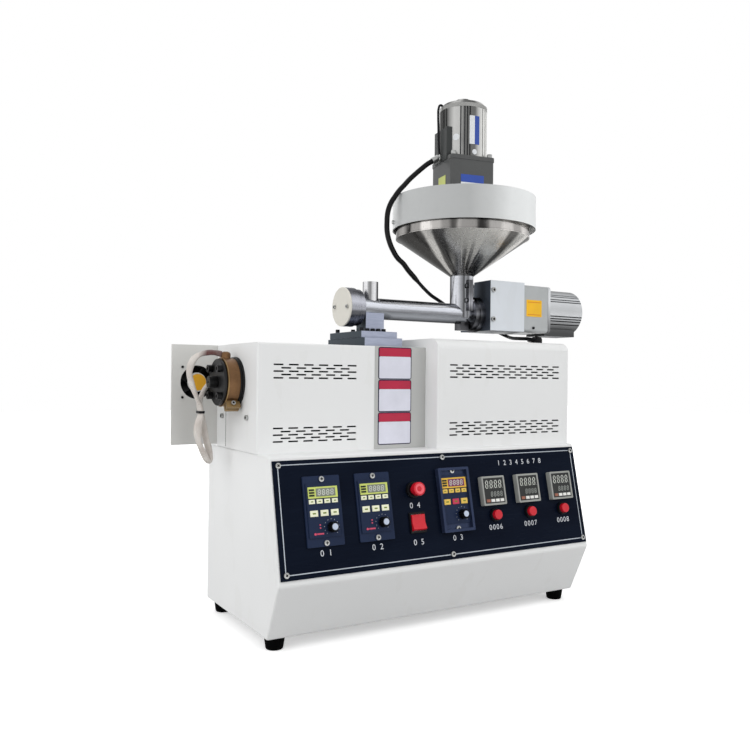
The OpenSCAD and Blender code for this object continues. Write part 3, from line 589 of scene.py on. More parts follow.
# ---- Speed controllers ------------------------------------------------------
# Three motor speed controllers. Each is a slate-blue plate with a raised face:
# a display behind a window, two rows of soft keys and a knob in a ring of dots.
# The first two are edged in slate, the third in a bright bevelled frame.
slate = moulded("slate_plastic", tint(28, 40, 66), 0.4)
bright_frame = moulded("bright_frame", tint(48, 58, 84), 0.26, 0.04, {"Metallic": 0.35})
centres_u, centre_v = (78.5, 166, 317), 101.5
plates = cast("speed_controllers", "speed_controller_plates", 0.0006, 2)
settle(plates, "speed_controller_plates", slate, bright_frame)
to_panel = panel.inverted()
paint(plates, 1, lambda centre, normal: (to_panel @ centre).x > 0.28 and (to_panel @ centre).z > 0.0049)
fit(plates, "controller_face", "speed_controllers")

bpy.ops.mesh.primitive_cube_add(size=1, location=(0, 0, 0), scale=mm(54, 79, 3.2))
face = made()
step(face, lambda centre, normal: normal.z > 0.5, 0.0012, (0, 0, -0.0004))
ease(face, 0.0004, 2)
faces = row(face, "speed_controller_faces", [panel_spot(u, centre_v + 1, 5.4) for u in centres_u], slate)
fit(faces, "controller_face")
bpy.data.objects.remove(face)


def shape(name, size, thick, margin, sink, edge=0.0003):
    """A small rectangular part: a block with a sunk or raised middle and eased edges."""
    bpy.ops.mesh.primitive_cube_add(size=1, location=(0, 0, 0), scale=mm(*size, thick))
    part = made()
    step(part, lambda centre, normal: normal.z > 0.5, margin / 1000, (0, 0, sink / 1000))
    ease(part, edge, 2)
    part.name = name
    return part


yellow_green = moulded("yellow_green_plastic", tint(208, 220, 116), 0.45)
orange_yellow = moulded("orange_yellow_plastic", tint(228, 184, 66), 0.45)
grey_window = moulded("grey_window", tint(128, 134, 122), 0.18, 0.02)
violet_window = moulded("violet_window", tint(120, 52, 92), 0.18, 0.02)
pale_key = moulded("pale_key", tint(242, 244, 216), 0.5)
amber_key = moulded("amber_key", tint(232, 196, 92), 0.5)
red_key = moulded("red_key", tint(192, 52, 82), 0.45)
dark_lamp = moulded("dark_lamp", tint(40, 46, 42), 0.3)
pale_bar = moulded("pale_bar", tint(214, 218, 210), 0.4, 0.02)
key_mark = moulded("key_mark", tint(112, 128, 34), 0.5, 0.02)

display_frame = shape("display_frame", (48.5, 16.5), 1.4, 1.0, -0.3)
display_window = shape("display_window", (32, 12), 1.0, 0.8, -0.2, 0.0002)
lamp = shape("lamp", (8.6, 2.6), 0.9, 0.4, 0.15, 0.0001)
small_key = shape("small_key", (9.4, 6.2), 1.3, 0.7, 0.15)
large_key = shape("large_key", (12.4, 8.8), 1.4, 0.9, 0.2)
mark = shape("mark", (5.2, 2.0), 0.4, 0.3, 0.05, 0.00008)
face_top = 7.2
key_places, key_rise, large_drop = (-19, -6.4, 6.2, 18.8), 14, 3.2
for group, frame_finish, window_finish, key_finish in (
        ((0, 1), yellow_green, grey_window, pale_key), ((2,), orange_yellow, violet_window, amber_key)):
    us, tail = [centres_u[i] for i in group], "pair" if len(group) == 2 else "third"
    v = centre_v + 27
    repeat(display_frame, "display_frames_" + tail, "controller_face",
           [panel_spot(u, v, face_top) for u in us], frame_finish)
    repeat(display_window, "display_windows_" + tail, "controller_face",
           [panel_spot(u + 4.5, v, 7.6) for u in us], window_finish)
    repeat(lamp, "display_lamps_" + tail, "controller_face",
           [panel_spot(u - 18.4, v + d, 7.75) for u in us for d in (-4, 0, 4)], dark_lamp)
    keys = [panel_spot(u + d, centre_v + key_rise, face_top) for u in us for d in key_places]
    repeat(small_key, "small_keys_" + tail, "controller_face", keys, key_finish)
    large = [(u + d, centre_v - large_drop) for u in us for d in (-17, 0, 17)]
    repeat(large_key, "large_keys_" + tail, "controller_face",
           [panel_spot(*spot, face_top) for spot in large
            if not (tail == "third" and spot[0] == us[0])], key_finish)
    marks = [panel_spot(u, w, 8.15) for u, w in large] + [
        panel_spot(u + d, centre_v + key_rise, 8.0, 0.75) for u in us for d in key_places]
    repeat(mark, "key_marks_" + tail, "controller_face", marks, key_mark)
repeat(large_key, "stop_key", "controller_face",
       [panel_spot(centres_u[2], centre_v - large_drop, face_top)], red_key)

bar = drum(6, 1, 1)


def figure(width, height, thick):
    """A figure 8 of seven bars, leaning a little."""
    spots, lean = [], Matrix(((1, 0.09, 0, 0), (0, 1, 0, 0), (0, 0, 1, 0), (0, 0, 0, 1)))
    for x, y, length, turned in ((0, height / 2, width, 1), (0, 0, width, 1), (0, -height / 2, width, 1),
                                 (-width / 2, height / 4, height / 2, 0),
                                 (-width / 2, -height / 4, height / 2, 0),
                                 (width / 2, height / 4, height / 2, 0),
                                 (width / 2, -height / 4, height / 2, 0)):
        size = Matrix.Diagonal((*mm(thick * 0.58, length * 0.45, 0.12), 1))
        spots.append(lean @ Matrix.Translation(mm(x, y, 0)) @ Matrix.Rotation(turned * pi / 2, 4,
                                                                              "Z") @ size)
    return row(bar, "figure", spots)


speed_figure = figure(3.9, 7.2, 1.1)
spots = [panel_spot(u + 4.5 + d, centre_v + 27, 8.02) for u in centres_u for d in (-10.5, -3.5, 3.5, 10.5)]
repeat(speed_figure, "speed_figures", "controller_face", spots, pale_bar)
spots = [panel_spot(u, v, 5, 0.0042, u) for u in centres_u for v in (55, 148)]
repeat(domed_screw, "speed_controller_screws", "turned_steel", spots)

dot = drum(8, 0.00045, 0.0002)
knob_right, knob_v, dial = 10, 77, 12
spots = [panel_spot(u + knob_right + dial * sin(radians(a)), knob_v + dial * cos(radians(a)), 7.0)
         for u in centres_u for a in range(-135, 136, 27)]
repeat(dot, "knob_scale_dots", "controller_face", spots, white_print)
signal_red = moulded("signal_red", tint(214, 78, 108), 0.4, 0.04)
spots = [panel_spot(u - 8.5, v, 7.05, 2.6) for u in centres_u[:2] for v in (81.5, 77.2)]
spots += [panel_spot(u + d, 68.8, 7.05, 4.2 if d == -17.5 else 2.9) for u in centres_u[:2]
          for d in (-17.5, -13.6, -11.4, -9.2, -7, -4.8)]
repeat(dot, "signal_dots", "controller_face", spots, signal_red)


# ---- Speed knobs ------------------------------------------------------------
# Fluted knobs of black plastic with a pale blue-white cap and a white pointer,
# pressed on the controllers' shafts.
knob_black = moulded("knob_black", tint(16, 17, 20), 0.38)
cap_pale = moulded("cap_pale", tint(196, 208, 228), 0.35, 0.05)
for number, u in enumerate(centres_u, 1):
    body = f"speed_knob_{number}"
    knob = drum(48, 0.0085, 0.0132, (0, 0, 0.0067))
    carve(knob, lambda centre, normal: abs(normal.z) < 0.5 and
          round(atan2(centre.y, centre.x) / (pi / 24) - 0.5) % 3 == 0, (0.0002, -0.0005))
    pick(knob, lambda centre, normal: normal.z > 0.5)
    bpy.ops.transform.resize(value=(0.68, 0.68, 1))
    bpy.ops.mesh.inset(thickness=0.0006, depth=0)
    bpy.ops.mesh.inset(thickness=0.0003, depth=-0.0005)
    bpy.ops.mesh.inset(thickness=0.0003, depth=0.0007)
    bpy.ops.object.mode_set(mode="OBJECT")
    ease(knob, 0.00025, 2)
    settle(on_panel(knob, u + knob_right, knob_v, 5.3), f"speed_knob_body_{number}", knob_black, cap_pale)
    paint(knob, 1, lambda centre, normal: (to_panel @ centre).z > 0.0180 and (
        (to_panel @ centre).xy - Vector(mm(u + knob_right, knob_v))).length < 0.0050)
    fit(knob, "black_plastic", body, body=body)
    pointer = shape("pointer", (1.0, 3.6), 0.5, 0.2, 0.05, 0.0001)
    settle(on_panel(pointer, u + knob_right, knob_v + 2.0, 18.66), f"speed_knob_pointer_{number}",
           white_print)
    fit(pointer, "black_plastic", body=body)


# ---- Temperature controllers ------------------------------------------------
# Three 48 mm controllers in grey plastic cases. Behind a black face are a row
# of large figures and one of small figures, and under them four soft keys.
case_grey = moulded("case_grey", tint(156, 158, 154), 0.45)
face_black = moulded("face_black", tint(52, 53, 53), 0.3, 0.03)
temp_u, temp_v, figure_top = (395, 470.5, 546.5), 110.5, 11.55
dress("temperature_controllers", "temperature_controller_cases", "controller_face", 0.0007, 2, case_grey)
plate = shape("plate", (41.6, 41.6), 0.8, 0.6, -0.15, 0.0002)
repeat(plate, "temperature_faces", "controller_face", [panel_spot(u, temp_v, 11.2) for u in temp_u],
       face_black)
large_figure, small_figure = figure(4.6, 11.8, 1.3), figure(3.3, 7.4, 0.95)
spots = [panel_spot(u + d, temp_v + 10.5, figure_top) for u in temp_u for d in (-14.2, -4.9, 4.4, 13.7)]
points = [panel_spot(u + d, temp_v + 4.2, figure_top) for u in temp_u for d in (-9.8, -0.5, 8.8, 18.1)]
repeat(large_figure, "large_figures", "controller_face", spots, pale_bar)
repeat(dot, "figure_points", "controller_face", points, pale_bar)
dim_bar = moulded("dim_bar", tint(160, 165, 160), 0.4, 0.02)
spots = [panel_spot(u + d, temp_v - 5.8, figure_top) for u in temp_u for d in (-5.4, 1.3, 8.0, 14.7)]
repeat(small_figure, "small_figures", "controller_face", spots, dim_bar)
white_key = moulded("white_key", tint(236, 236, 232), 0.5)
rust_key = moulded("rust_key", tint(150, 96, 78), 0.5)
for name, places, finish in (("set_keys", (-14.5,), rust_key),
                             ("change_keys", (-4.8, 4.9, 14.6), white_key)):
    spots = [panel_spot(u + d, temp_v - 16.4, 11.8, 0.78) for u in temp_u for d in places]
    repeat(small_key, name, "controller_face", spots, finish)

for pattern in (bar, dot, speed_figure, large_figure, small_figure, display_frame, display_window, lamp,
                small_key,
                large_key, mark, plate):
    bpy.data.objects.remove(pattern)


# ---- Push buttons, stop button and power switch ------------------------------
# Red caps in black collars, a red mushroom head on a black collar for the stop,
# and a red rocker in a black bezel. All are glossy moulded plastic.
button_red = moulded("button_red", tint(205, 24, 42), 0.25, 0.04)
# A lighter red painted on the stop head's top as a highlight.
ring_painted_highlight = moulded("ring_painted_highlight", tint(238, 96, 108), 0.3, 0.04)
collar_black = moulded("collar_black", tint(18, 18, 20), 0.35)
for node, name, width in (("button_collars", "push_button_collars", 0.0012),
                          ("stop_base", "stop_button_collar", 0.001),
                          ("switch_bezel", "power_switch_bezel", 0.0006)):
    dress(node, name, "black_plastic", width, 3, collar_black)
for number in (1, 2, 3):
    node, name = f"push_button_{number}", f"push_button_cap_{number}"
    dress(node, name, "red_plastic", 0.0014, 4, button_red, body=node)
head = drum(48, 0.0106, 0.01, (0, 0, 0.0171))
carve(head, lambda centre, normal: normal.z > 0.5, (0.0026, 0), (0.0014, -0.0008), (0.0024, -0.0006))
pick(head, lambda centre, normal: normal.z < -0.5)
bpy.ops.mesh.inset(thickness=0.0034, depth=0)
bpy.ops.mesh.extrude_region_move(TRANSFORM_OT_translate={"value": (0, 0, -0.0076)})
bpy.ops.object.mode_set(mode="OBJECT")
ease(head, 0.0016, 4)
stop_u, stop_v = 239, 122
settle(on_panel(head, stop_u, stop_v, 2), "stop_button_head", button_red, ring_painted_highlight)
# A ring on the head's top is painted lighter as a highlight.
paint(head, 1, lambda centre, normal: (to_panel @ centre).z > 0.0228 and 0.0052 < (
    (to_panel @ centre).xy - Vector(mm(stop_u, stop_v))).length < 0.0084)
fit(head, "red_plastic", "stop_button", body="stop_button")
dress("power_rocker", "power_rocker_key", "red_plastic", 0.0003, 2, button_red, body="power_rocker")


# ---- Sheet covers -----------------------------------------------------------
# White coated covers of bent sheet over the barrel and the drive, with rows of
# punched vent slots, and a grey cover between them. Blank safety-coloured plates
# are stuck on the grey one. Socket screws hold the covers' left ends.
slot_shadow = moulded("slot_shadow", tint(8, 8, 9), 0.8, 0.05)
for node in ("heater_cover", "drive_cover"):
    cover = cast(node, node + "_sheet", 0)
    settle(smooth(cover, 30), node + "_sheet", white_coat, slot_shadow)
    face_y, top_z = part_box(node)[0].y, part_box(node)[1].z
    paint(cover, 1, lambda centre,
          normal: abs(normal.y) > 0.9 and face_y + 0.0005 < centre.y < face_y + 0.003
          and centre.z < top_z - 0.022)
    fit(cover, "white_coat", node)
dress("heater_cover_rear", "heater_cover_rear_sheet", "white_coat", 0.0008, 2, white_coat)
# Grey paint, made darker to paint in the shade the drive cover casts on this cover.
grey_coat = coated("grey_coat_with_painted_shade", tint(184, 185, 183))
dress("middle_cover", "middle_cover_sheet", "grey_coat", 0.0008, 2, grey_coat)

crimson = moulded("crimson_vinyl", tint(176, 14, 58), 0.35, 0.04)
lavender = moulded("lavender_vinyl", tint(219, 220, 232), 0.35, 0.04)
vinyl_edge = moulded("vinyl_edge", tint(34, 28, 62), 0.4, 0.04)
mid_low, mid_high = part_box("middle_cover")
upright = Matrix.Rotation(pi / 2, 4, "X")
edges, heads, bodies = [], [], []
for number in range(3):
    x, z = mid_low.x + 0.0397, mid_high.z - 0.0277 - 0.0536 * number
    for group, width, height, up, out, corner in ((edges, 0.0644, 0.053, 0, 0.0006, 0.0036),
                                                  (heads, 0.0614, 0.0138, 0.0181, 0.0008, 0.0020),
                                                  (bodies, 0.0614, 0.0360, -0.0070, 0.0008, 0.0020)):
        slab = card(width, height, out + 0.0002, corner)
        slab.matrix_world = Matrix.Translation((x, mid_low.y + 0.0002, z + up)) @ upright
        group.append(slab)
for name, group, finish in (("plate_edges", edges, vinyl_edge), ("plate_heads", heads, crimson),
                            ("plate_bodies", bodies, lavender)):
    fit(settle(joined(group), name, finish), "grey_coat")

black_screw = moulded("blackened_screw", tint(36, 37, 40), 0.35, 0.1, {"Metallic": 0.7})
socket_screw = drum(24, 1, 0.9, (0, 0, 0.45))
bpy.ops.mesh.primitive_cylinder_add(vertices=6, radius=0.55, depth=0.8, location=(0, 0, 0.9))
cutter = bpy.context.object
modify(socket_screw, "BOOLEAN", operation="DIFFERENCE", object=cutter)
bpy.data.objects.remove(cutter)
ease(socket_screw, 0.08, 2)
bright_socket = row(socket_screw, "bright_socket", [Matrix.Identity(4)])
for finish in (steel_screw, recess_painted_shade):
    bright_socket.data.materials.append(finish)
# The socket's recess is painted dark as shade.
paint(bright_socket, 1, lambda centre, normal: centre.xy.length < 0.54 and centre.z < 0.86)
socket_screw.data.materials.append(black_screw)
heat_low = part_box("heater_cover")[0]
spots = [facing((heat_low.x - 0.0001, y, z), (-1, 0, 0), 0.0042, y) for y,
         z in ((-0.0275, 0.338), (0.080, 0.3364))]
repeat(bright_socket, "heater_cover_screws", "turned_steel", spots)
seam_grey = moulded("seam_grey", tint(70, 68, 65), 0.7, 0.05)
seam = card(0.0016, 0.085, 0.0003, 0.0004)
seam.matrix_world = facing((heat_low.x + 0.00015, 0.0663, heat_low.z + 0.0445), (-1, 0, 0))
fit(settle(seam, "heater_cover_seam", seam_grey), "white_coat")
drive_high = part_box("drive_cover")[1]
spots = [facing((drive_high.x, y, z), (1, 0, 0), 0.0036, y) for y in (-0.07, 0.08) for z in (0.31, 0.44)]
spots += [facing((x, drive_high.y, z), (0, 1, 0), 0.0036, x) for x in (-0.29, -0.15, 0.01, 0.245)
          for z in (0.31, 0.435)]
repeat(domed_screw, "drive_cover_screws", "turned_steel", spots)


# ---- Fan --------------------------------------------------------------------
# A 60 mm axial fan behind a coated plate, which cools the barrel. Its plastic
# frame is held by four screws, and its hub carries a round label.
plate_coat = coated("fan_plate_coat", tint(212, 212, 209))
dress("fan_plate", "fan_plate_sheet", "white_coat", 0.0004, 2, plate_coat)
fan_black = moulded("fan_black", tint(20, 21, 22), 0.4)
dress("fan_frame", "fan_frame_casing", "black_plastic", 0.0004, 2, fan_black)
dress("fan_rotor", "fan_blades", "black_plastic", 0.0003, 2, fan_black, body="fan_rotor")
rotor_low, rotor_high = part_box("fan_rotor")
hub = Vector(((rotor_low.x + rotor_high.x) / 2, rotor_low.y, (rotor_low.z + rotor_high.z) / 2))
label_pale = moulded("label_pale", tint(202, 203, 200), 0.4, 0.05)
label_yellow = moulded("label_yellow", tint(226, 168, 44), 0.4, 0.05)
for name, radius, out, x, finish in (("fan_label_ring", 0.0160, 0.0005, 0, label_pale),
                                     ("fan_label", 0.0138, 0.0009, 0.0018, label_yellow)):
    disc = ease(drum(48, radius, out + 0.0002, hub + Vector((x, 0.0001 - out / 2, 0)), (pi / 2, 0, 0)),
                0.0001, 1)
    fit(settle(disc, name, finish), "black_plastic", body="fan_rotor")
# A black disc behind the rotor stands in for the shade seen between the blades.
shade_disc = ease(drum(48, 0.0276, 0.0006, (hub.x, 0.1276, hub.z), (pi / 2, 0, 0)), 0.0001, 1)
fit(settle(shade_disc, "fan_back_painted_shade", fan_black), "black_plastic")
plate_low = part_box("fan_plate")[0]
spots = [facing((hub.x + a * 0.025, plate_low.y, hub.z + b * 0.025), (0, -1, 0), 0.0021, a) for a in (-1, 1)
         for b in (-1, 1)]
repeat(socket_screw, "fan_screws", "turned_steel", spots)


# ---- Die head ---------------------------------------------------------------
# A blackened steel die on the barrel's end. A flange with a nozzle is held on by
# four socket screws. A band heater with a worn brown sheath is clamped round it.
def scaled_steel(name, dark, light, rough=0.5):
    """Hot-worked steel: oxide clouds, rubbed patches and a fine pitted surface."""
    steel = Finish(name, {"Metallic": 0.75})
    cloud, pits = steel.noise(40, 5), steel.noise(420, 3)
    steel.surface(steel.mix(cloud * 0.8 + pits * 0.2, dark, light), cloud * 0.25 + (rough - 0.1))
    steel.bump(pits, 0.25, 0.0004)
    return steel.made


black_oxide = scaled_steel("black_oxide", tint(18, 19, 20), tint(48, 48, 49), 0.42)
screw_oxide = scaled_steel("screw_oxide", tint(9, 9, 10), tint(30, 30, 31), 0.38)
brown_sheath = scaled_steel("brown_sheath", tint(50, 34, 22), tint(150, 112, 76), 0.36)
for node, width, finish, slot in (
        ("die_body", 0.0006, black_oxide, "black_steel"),
        ("heater_band", 0.0006, brown_sheath, "band_metal"),
        ("die_flange", 0.0016, black_oxide, "black_steel"),
        ("die_screws", 0.0007, screw_oxide, "black_steel"),
        ("die_nozzle", 0.0009, screw_oxide, "black_steel")):
    dress(node, node + "_steel", slot, width, 3, finish)
brass = scaled_steel("brass", tint(92, 72, 40), tint(184, 152, 104), 0.3)
band_low, band_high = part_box("heater_band")
flange_low, flange_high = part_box("die_flange")
axis = (flange_low + flange_high) / 2
sheath = bpy.data.objects["heater_band_steel"]
sheath.data.materials.append(brass)
pick(sheath, lambda centre, normal: centre.z > axis.z + 0.046)
bpy.ops.transform.translate(value=(0, 0, -0.0042))
for rise, share in ((0.0019, 0.93), (0.0014, 0.82), (0.0009, 0.6)):
    bpy.ops.mesh.extrude_region_move(TRANSFORM_OT_translate={"value": (0, 0, rise)})
    bpy.ops.transform.resize(value=(share, share, 1))
bpy.ops.object.mode_set(mode="OBJECT")
paint(sheath, 1, lambda centre, normal: (centre.yz - axis.yz).length > 0.0395 and centre.z < axis.z - 0.02)
bead = hoop(0.0380, 0.0016, 0.0016, facing((band_low.x + 0.0002, axis.y, axis.z), (1, 0, 0)))
fit(settle(bead, "heater_band_bead", brass), "band_metal")
# A black ring stands in for the shade in the gap between the band and the cover.
ring = hoop(0.0384, 0.0034, 0.0022, facing((band_high.x - 0.0034, axis.y, axis.z), (1, 0, 0)))
fit(settle(ring, "heater_band_gap_shade_ring", screw_oxide), "black_steel")
lug_turn = Matrix.Rotation(radians(-32), 3, "X")
lug = Vector((band_low.x + 0.011, axis.y, axis.z)) + lug_turn @ Vector((0, -0.0072, -0.0430))
across = lug_turn @ Vector((0, -1, 0))
repeat(bright_socket, "band_clamp_screw", "band_metal", [facing(lug, across, 0.0036)])


# ---- Feed plates ------------------------------------------------------------
# Two ground steel plates and a block carry the feeder over the barrel. Socket
# screws hold them. Their left ends are painted dark as reflection; fronts are bright.
ground_steel = Finish("ground_steel", {"Metallic": 0.85})
grind = ground_steel.noise(60, 4, (1, 1, 14))
ground_steel.surface(ground_steel.mix(grind, tint(132, 138, 156), tint(172, 178, 196)), grind * 0.2 + 0.28)
ground_steel.bump(grind, 0.08, 0.0003)
ground_steel = ground_steel.made
dark_side_painted_reflection = scaled_steel("dark_side_painted_reflection", tint(34, 44, 52), tint(56, 68, 77), 0.4)
for node in ("lower_feed_plate", "upper_feed_plate", "support_block"):
    slab = settle(cast(node, node + "_steel", 0.0005, 2), node + "_steel", ground_steel, dark_side_painted_reflection)
    # Faces turned to the left are painted dark: a painted dark reflection.
    paint(slab, 1, lambda centre, normal: normal.x < -0.7)
    fit(slab, "blue_steel", node)
up_low, up_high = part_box("upper_feed_plate")
block_low, block_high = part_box("support_block")
spots = [facing((x, y, up_high.z), (0, 0, 1), 0.0034, x)
         for y in (block_low.y - 0.008, block_high.y + 0.008)
         for x in (block_low.x - 0.002, block_low.x + 0.009, block_low.x + 0.020, block_low.x + 0.031)]
spots += [facing((up_low.x + 0.008, y, up_high.z), (0, 0, 1), 0.0034, y) for y in (-0.02, 0.064)]
spots = [spot @ Matrix.Diagonal((1.1, 1.1, 2.1, 1)) for spot in spots]
repeat(socket_screw, "feed_plate_screws", "blue_steel", spots)


# ---- Feeder barrel ----------------------------------------------------------
# A polished tube with a turned housing at its end, closed by a coated cap with
# two screws, and an open vent pipe welded on top. Soft light and dark bands of
# painted reflection run along the steel.
def polished(name, along, at, bands, hue=(1, 1, 1), rough=0.2, grain=(1, 1, 1), wear=0.25, flare=(0, 0)):
    """Polished steel with painted reflections: light and dark bands round its axis, crossed by fine marks.
    """
    steel = Finish(name, {"Metallic": 1.0, "Specular Tint": (0.45, 0.45, 0.45, 1)})
    turn = radians(127) if along == "Z" else 0
    centre = -(Matrix.Rotation(turn, 3, "Z") @ Vector(at))
    point = steel.place(centre, (0, 0, turn))
    x, y, z = (steel.node("ShaderNodeSeparateXYZ", None, {"Vector": point}, side) for side in (0, 1, 2))
    angle = y.math("ARCTAN2", y, x) if along == "Z" else y.math("ARCTAN2", z, y * -1)
    if flare[0]:
        angle = angle * ((z - flare[1]) * flare[0] + 1)
    cloud = steel.noise(22, 3)
    share = angle * (0.5 / pi) + cloud * 0.02 + 0.49
    stops = [((degrees + 180) / 360, tint(*(grey * part for part in hue))) for degrees, grey in bands]
    # The ramp paints reflections and shade into the colour by the angle round the axis.
    bright = steel.node("ShaderNodeValToRGB", {"stops": stops}, {"Fac": share})
    marks = steel.noise(90, 4, grain)
    steel.surface(steel.mix((marks > 0.6) * wear * marks, bright, tint(120, 120, 122)),
                  marks * 0.16 + (rough - 0.08))
    steel.bump(marks, 0.05, 0.0002)
    return steel.made


barrel_low, barrel_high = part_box("feeder_barrel")
feed_axis = (barrel_low + barrel_high) / 2
feed_at = (0, feed_axis.y, feed_axis.z)
# The barrel, housing and vent pipe carry painted reflection bands.
barrel_steel = polished("polished_barrel", "X", feed_at, [
    (-180, 120), (-110, 80), (-75, 96), (-55, 160), (-38, 196), (-24, 166), (-14, 92), (-6, 120), (4, 216),
    (28, 246),
    (44, 225), (56, 140), (70, 78), (90, 84), (130, 150), (180, 120)], (0.97, 0.985, 1.02), 0.2,
    (1, 14, 14))
housing_steel = polished("turned_housing", "X", feed_at, [
    (-180, 120), (-100, 70), (-70, 62), (-55, 140), (-42, 168), (-30, 92), (-16, 76), (-4, 150), (12, 206),
    (26, 188),
    (38, 118), (60, 92), (78, 128), (95, 84), (140, 150), (180, 120)], (0.97, 0.98, 1.03), 0.26, (14, 1, 1))
vent_low, vent_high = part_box("vent_pipe")
vent_at = (*((vent_low + vent_high) / 2).xy, 0)
vent_steel = polished("polished_vent", "Z", vent_at, [
    (-180, 120), (-100, 80), (-70, 98), (-48, 232), (-22, 236), (-8, 150), (8, 128), (22, 210), (44, 232),
    (62, 120), (90, 90), (180, 120)], (1, 1, 1.01), 0.22, (1, 1, 10))
cap_paint = coated("cap_paint", tint(214, 211, 202))
for node, width, finish, slot in (
        ("feeder_barrel", 0.0005, barrel_steel, "polished_steel"),
        ("end_housing", 0.0008, housing_steel, "turned_steel"),
        ("end_cap", 0.0007, cap_paint, "beige_plastic"), ("vent_pipe", 0.0003, vent_steel, "turned_steel")):
    dress(node, node + "_finished", slot, width, 3, finish)
end_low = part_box("end_housing")[0]
cap_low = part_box("end_cap")[0]
spots = [facing((cap_low.x, feed_axis.y + y, feed_axis.z + z), (-1, 0, 0), 0.0034, y) for y, z in (
    (-0.0225, -0.0009), (0.0225, 0.0009))]
repeat(bright_socket, "end_cap_screws", "turned_steel", spots)
groove_ring = hoop(0.0331, 0.0014, 0.0012,
                   facing((end_low.x + 0.0135, feed_axis.y, feed_axis.z), (1, 0, 0)))
fit(settle(groove_ring, "housing_ring", housing_steel), "turned_steel")
weld_metal = scaled_steel("weld_bead", tint(92, 94, 98), tint(180, 183, 188), 0.3)
beads, tube_radius = [], 0.0185
for sign in (-1, 1):
    points = []
    for step_at in range(13):
        y = -0.0155 + 0.031 * step_at / 12
        rise = (tube_radius ** 2 - y * y) ** 0.5
        points.append(((barrel_low.x + 0.0004 + (0.036 if sign > 0 else 0.0012)) * 1000,
                       (feed_axis.y + y) * 1000,
                       (feed_axis.z + rise) * 1000))
    beads.append(as_mesh(route("bead", points, 0.0011, 2)))
beads = joined(beads)
bpy.ops.object.shade_smooth()
fit(settle(beads, "barrel_weld_beads", weld_metal), "turned_steel")


# ---- Feeder drive -----------------------------------------------------------
# A flange, an angle bracket with a light coated cover over the coupling, a gear
# case and a finned aluminium motor with its terminal box under it.
# The flange's and the clamp's bands are painted reflections.
flange_steel = polished("turned_flange", "X", feed_at, [
    (-180, 120), (-110, 76), (-80, 98), (-60, 66), (-45, 150), (-30, 90), (-12, 70), (0, 132), (14, 96),
    (34, 178),
    (52, 120), (74, 82), (95, 120), (140, 150), (180, 120)], (0.98, 0.985, 1.02), 0.3, (14, 1, 1))
dress("feeder_flange", "feeder_flange_steel", "turned_steel", 0.0008, 3, flange_steel)
bracket_steel = scaled_steel("bracket_steel", tint(44, 50, 60), tint(88, 96, 108), 0.36)
dress("drive_bracket", "drive_bracket_steel", "dark_steel", 0.0006, 3, bracket_steel)
cover_coat = coated("coupling_cover_coat", tint(214, 219, 225), 0.4)
dress("coupling_cover", "coupling_cover_sheet", "white_coat", 0.0005, 2, cover_coat)
guard_low, guard_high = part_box("coupling_cover")
spots = [facing((guard_low.x + 0.0045, guard_low.y, z), (0, -1, 0), 0.0046, z)
         for z in (guard_low.z + 0.021, guard_high.z - 0.018)]
repeat(bright_socket, "coupling_cover_screws", "turned_steel", spots)
spots = [facing((guard_low.x - 0.0028, feed_axis.y + 0.0255 * cos(a), feed_axis.z + 0.0255 * sin(a)),
                (-1, 0, 0), 0.0026)
         for a in (2.2, 3.4, 3.95, 4.55, 5.4)]
spots = [Matrix.Translation((-0.0175 - 0.0027, 0, 0)) @ spot for spot in spots]
repeat(socket_screw, "flange_bolts", "turned_steel", spots)
cast_grey = moulded("cast_grey", tint(172, 175, 176), 0.45, 0.3, {"Metallic": 0.25})
dress("feeder_gear_case", "feeder_gear_casting", "grey_cast", 0.0012, 3, cast_grey)
gear_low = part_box("feeder_gear_case")[0]
label_orange = moulded("label_orange", tint(246, 190, 30), 0.4, 0.04)
sign = card(0.0385, 0.032, 0.0006, 0.0012)
sign.matrix_world = Matrix.Translation((gear_low.x + 0.0258, gear_low.y + 0.0001,
                                        gear_low.z + 0.046)) @ upright
fit(settle(sign, "gear_case_label", label_orange), "grey_cast")
label_line = moulded("label_line", tint(226, 140, 20), 0.4, 0.04)
lines = [block((gear_low.x + 0.0095, gear_low.y - 0.0007, gear_low.z + z),
               (gear_low.x + 0.042, gear_low.y, gear_low.z + z + 0.0016))
         for z in (0.0332, 0.0568)]
lines = joined([ease(line, 0.0001, 1) for line in lines])
fit(settle(lines, "gear_case_label_lines", label_line), "grey_cast")
spots = [facing((gear_low.x + 0.024, gear_low.y, gear_low.z + 0.0085), (0, -1, 0), 0.0026)]
repeat(socket_screw, "gear_case_plug", "grey_cast", spots)


def finned(node, name, along, centre, turn, finish, dark):
    """A motor's casing with grooves cut between its cooling fins, in groups round it; the groove floors
    take the dark finish as painted shade.
    """
    casing = cast(node, name, 0)
    settle(casing, name, finish, dark)
    middle = Vector(centre)

    def groove(face_centre, normal):
        if abs(normal.x if along == "X" else normal.z) > 0.02 or (face_centre - middle).length > 0.062:
            return False
        out = face_centre - middle
        side = Vector((out.z, -out.y)) if along == "X" else Vector((out.x, out.y))
        if not 0.0425 < side.length < 0.0445:
            return False
        angle = atan2(side.x, side.y) * 180 / pi - turn
        return abs((angle + 30) % 60 - 30) < 14.5 and round(angle / 3.75 - 0.5) % 2 == 0

    pick(casing, groove)
    bpy.ops.mesh.inset(thickness=0.0003, depth=-0.0032, use_individual=True)
    bpy.ops.object.mode_set(mode="OBJECT")
    # The groove floors are painted dark as shade.
    for face in casing.data.polygons:
        if face.select:
            face.material_index = 1
    return smooth(casing, 28)


# Dark grey painted into the fin grooves and under the feeder motor as shade.
fin_gap_painted_shade = moulded("fin_gap_painted_shade", tint(92, 94, 97), 0.6, 0.2)
motor_low, motor_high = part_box("feeder_motor")
motor_y, motor_z = (motor_low.y + motor_high.y) / 2, motor_high.z - 0.045
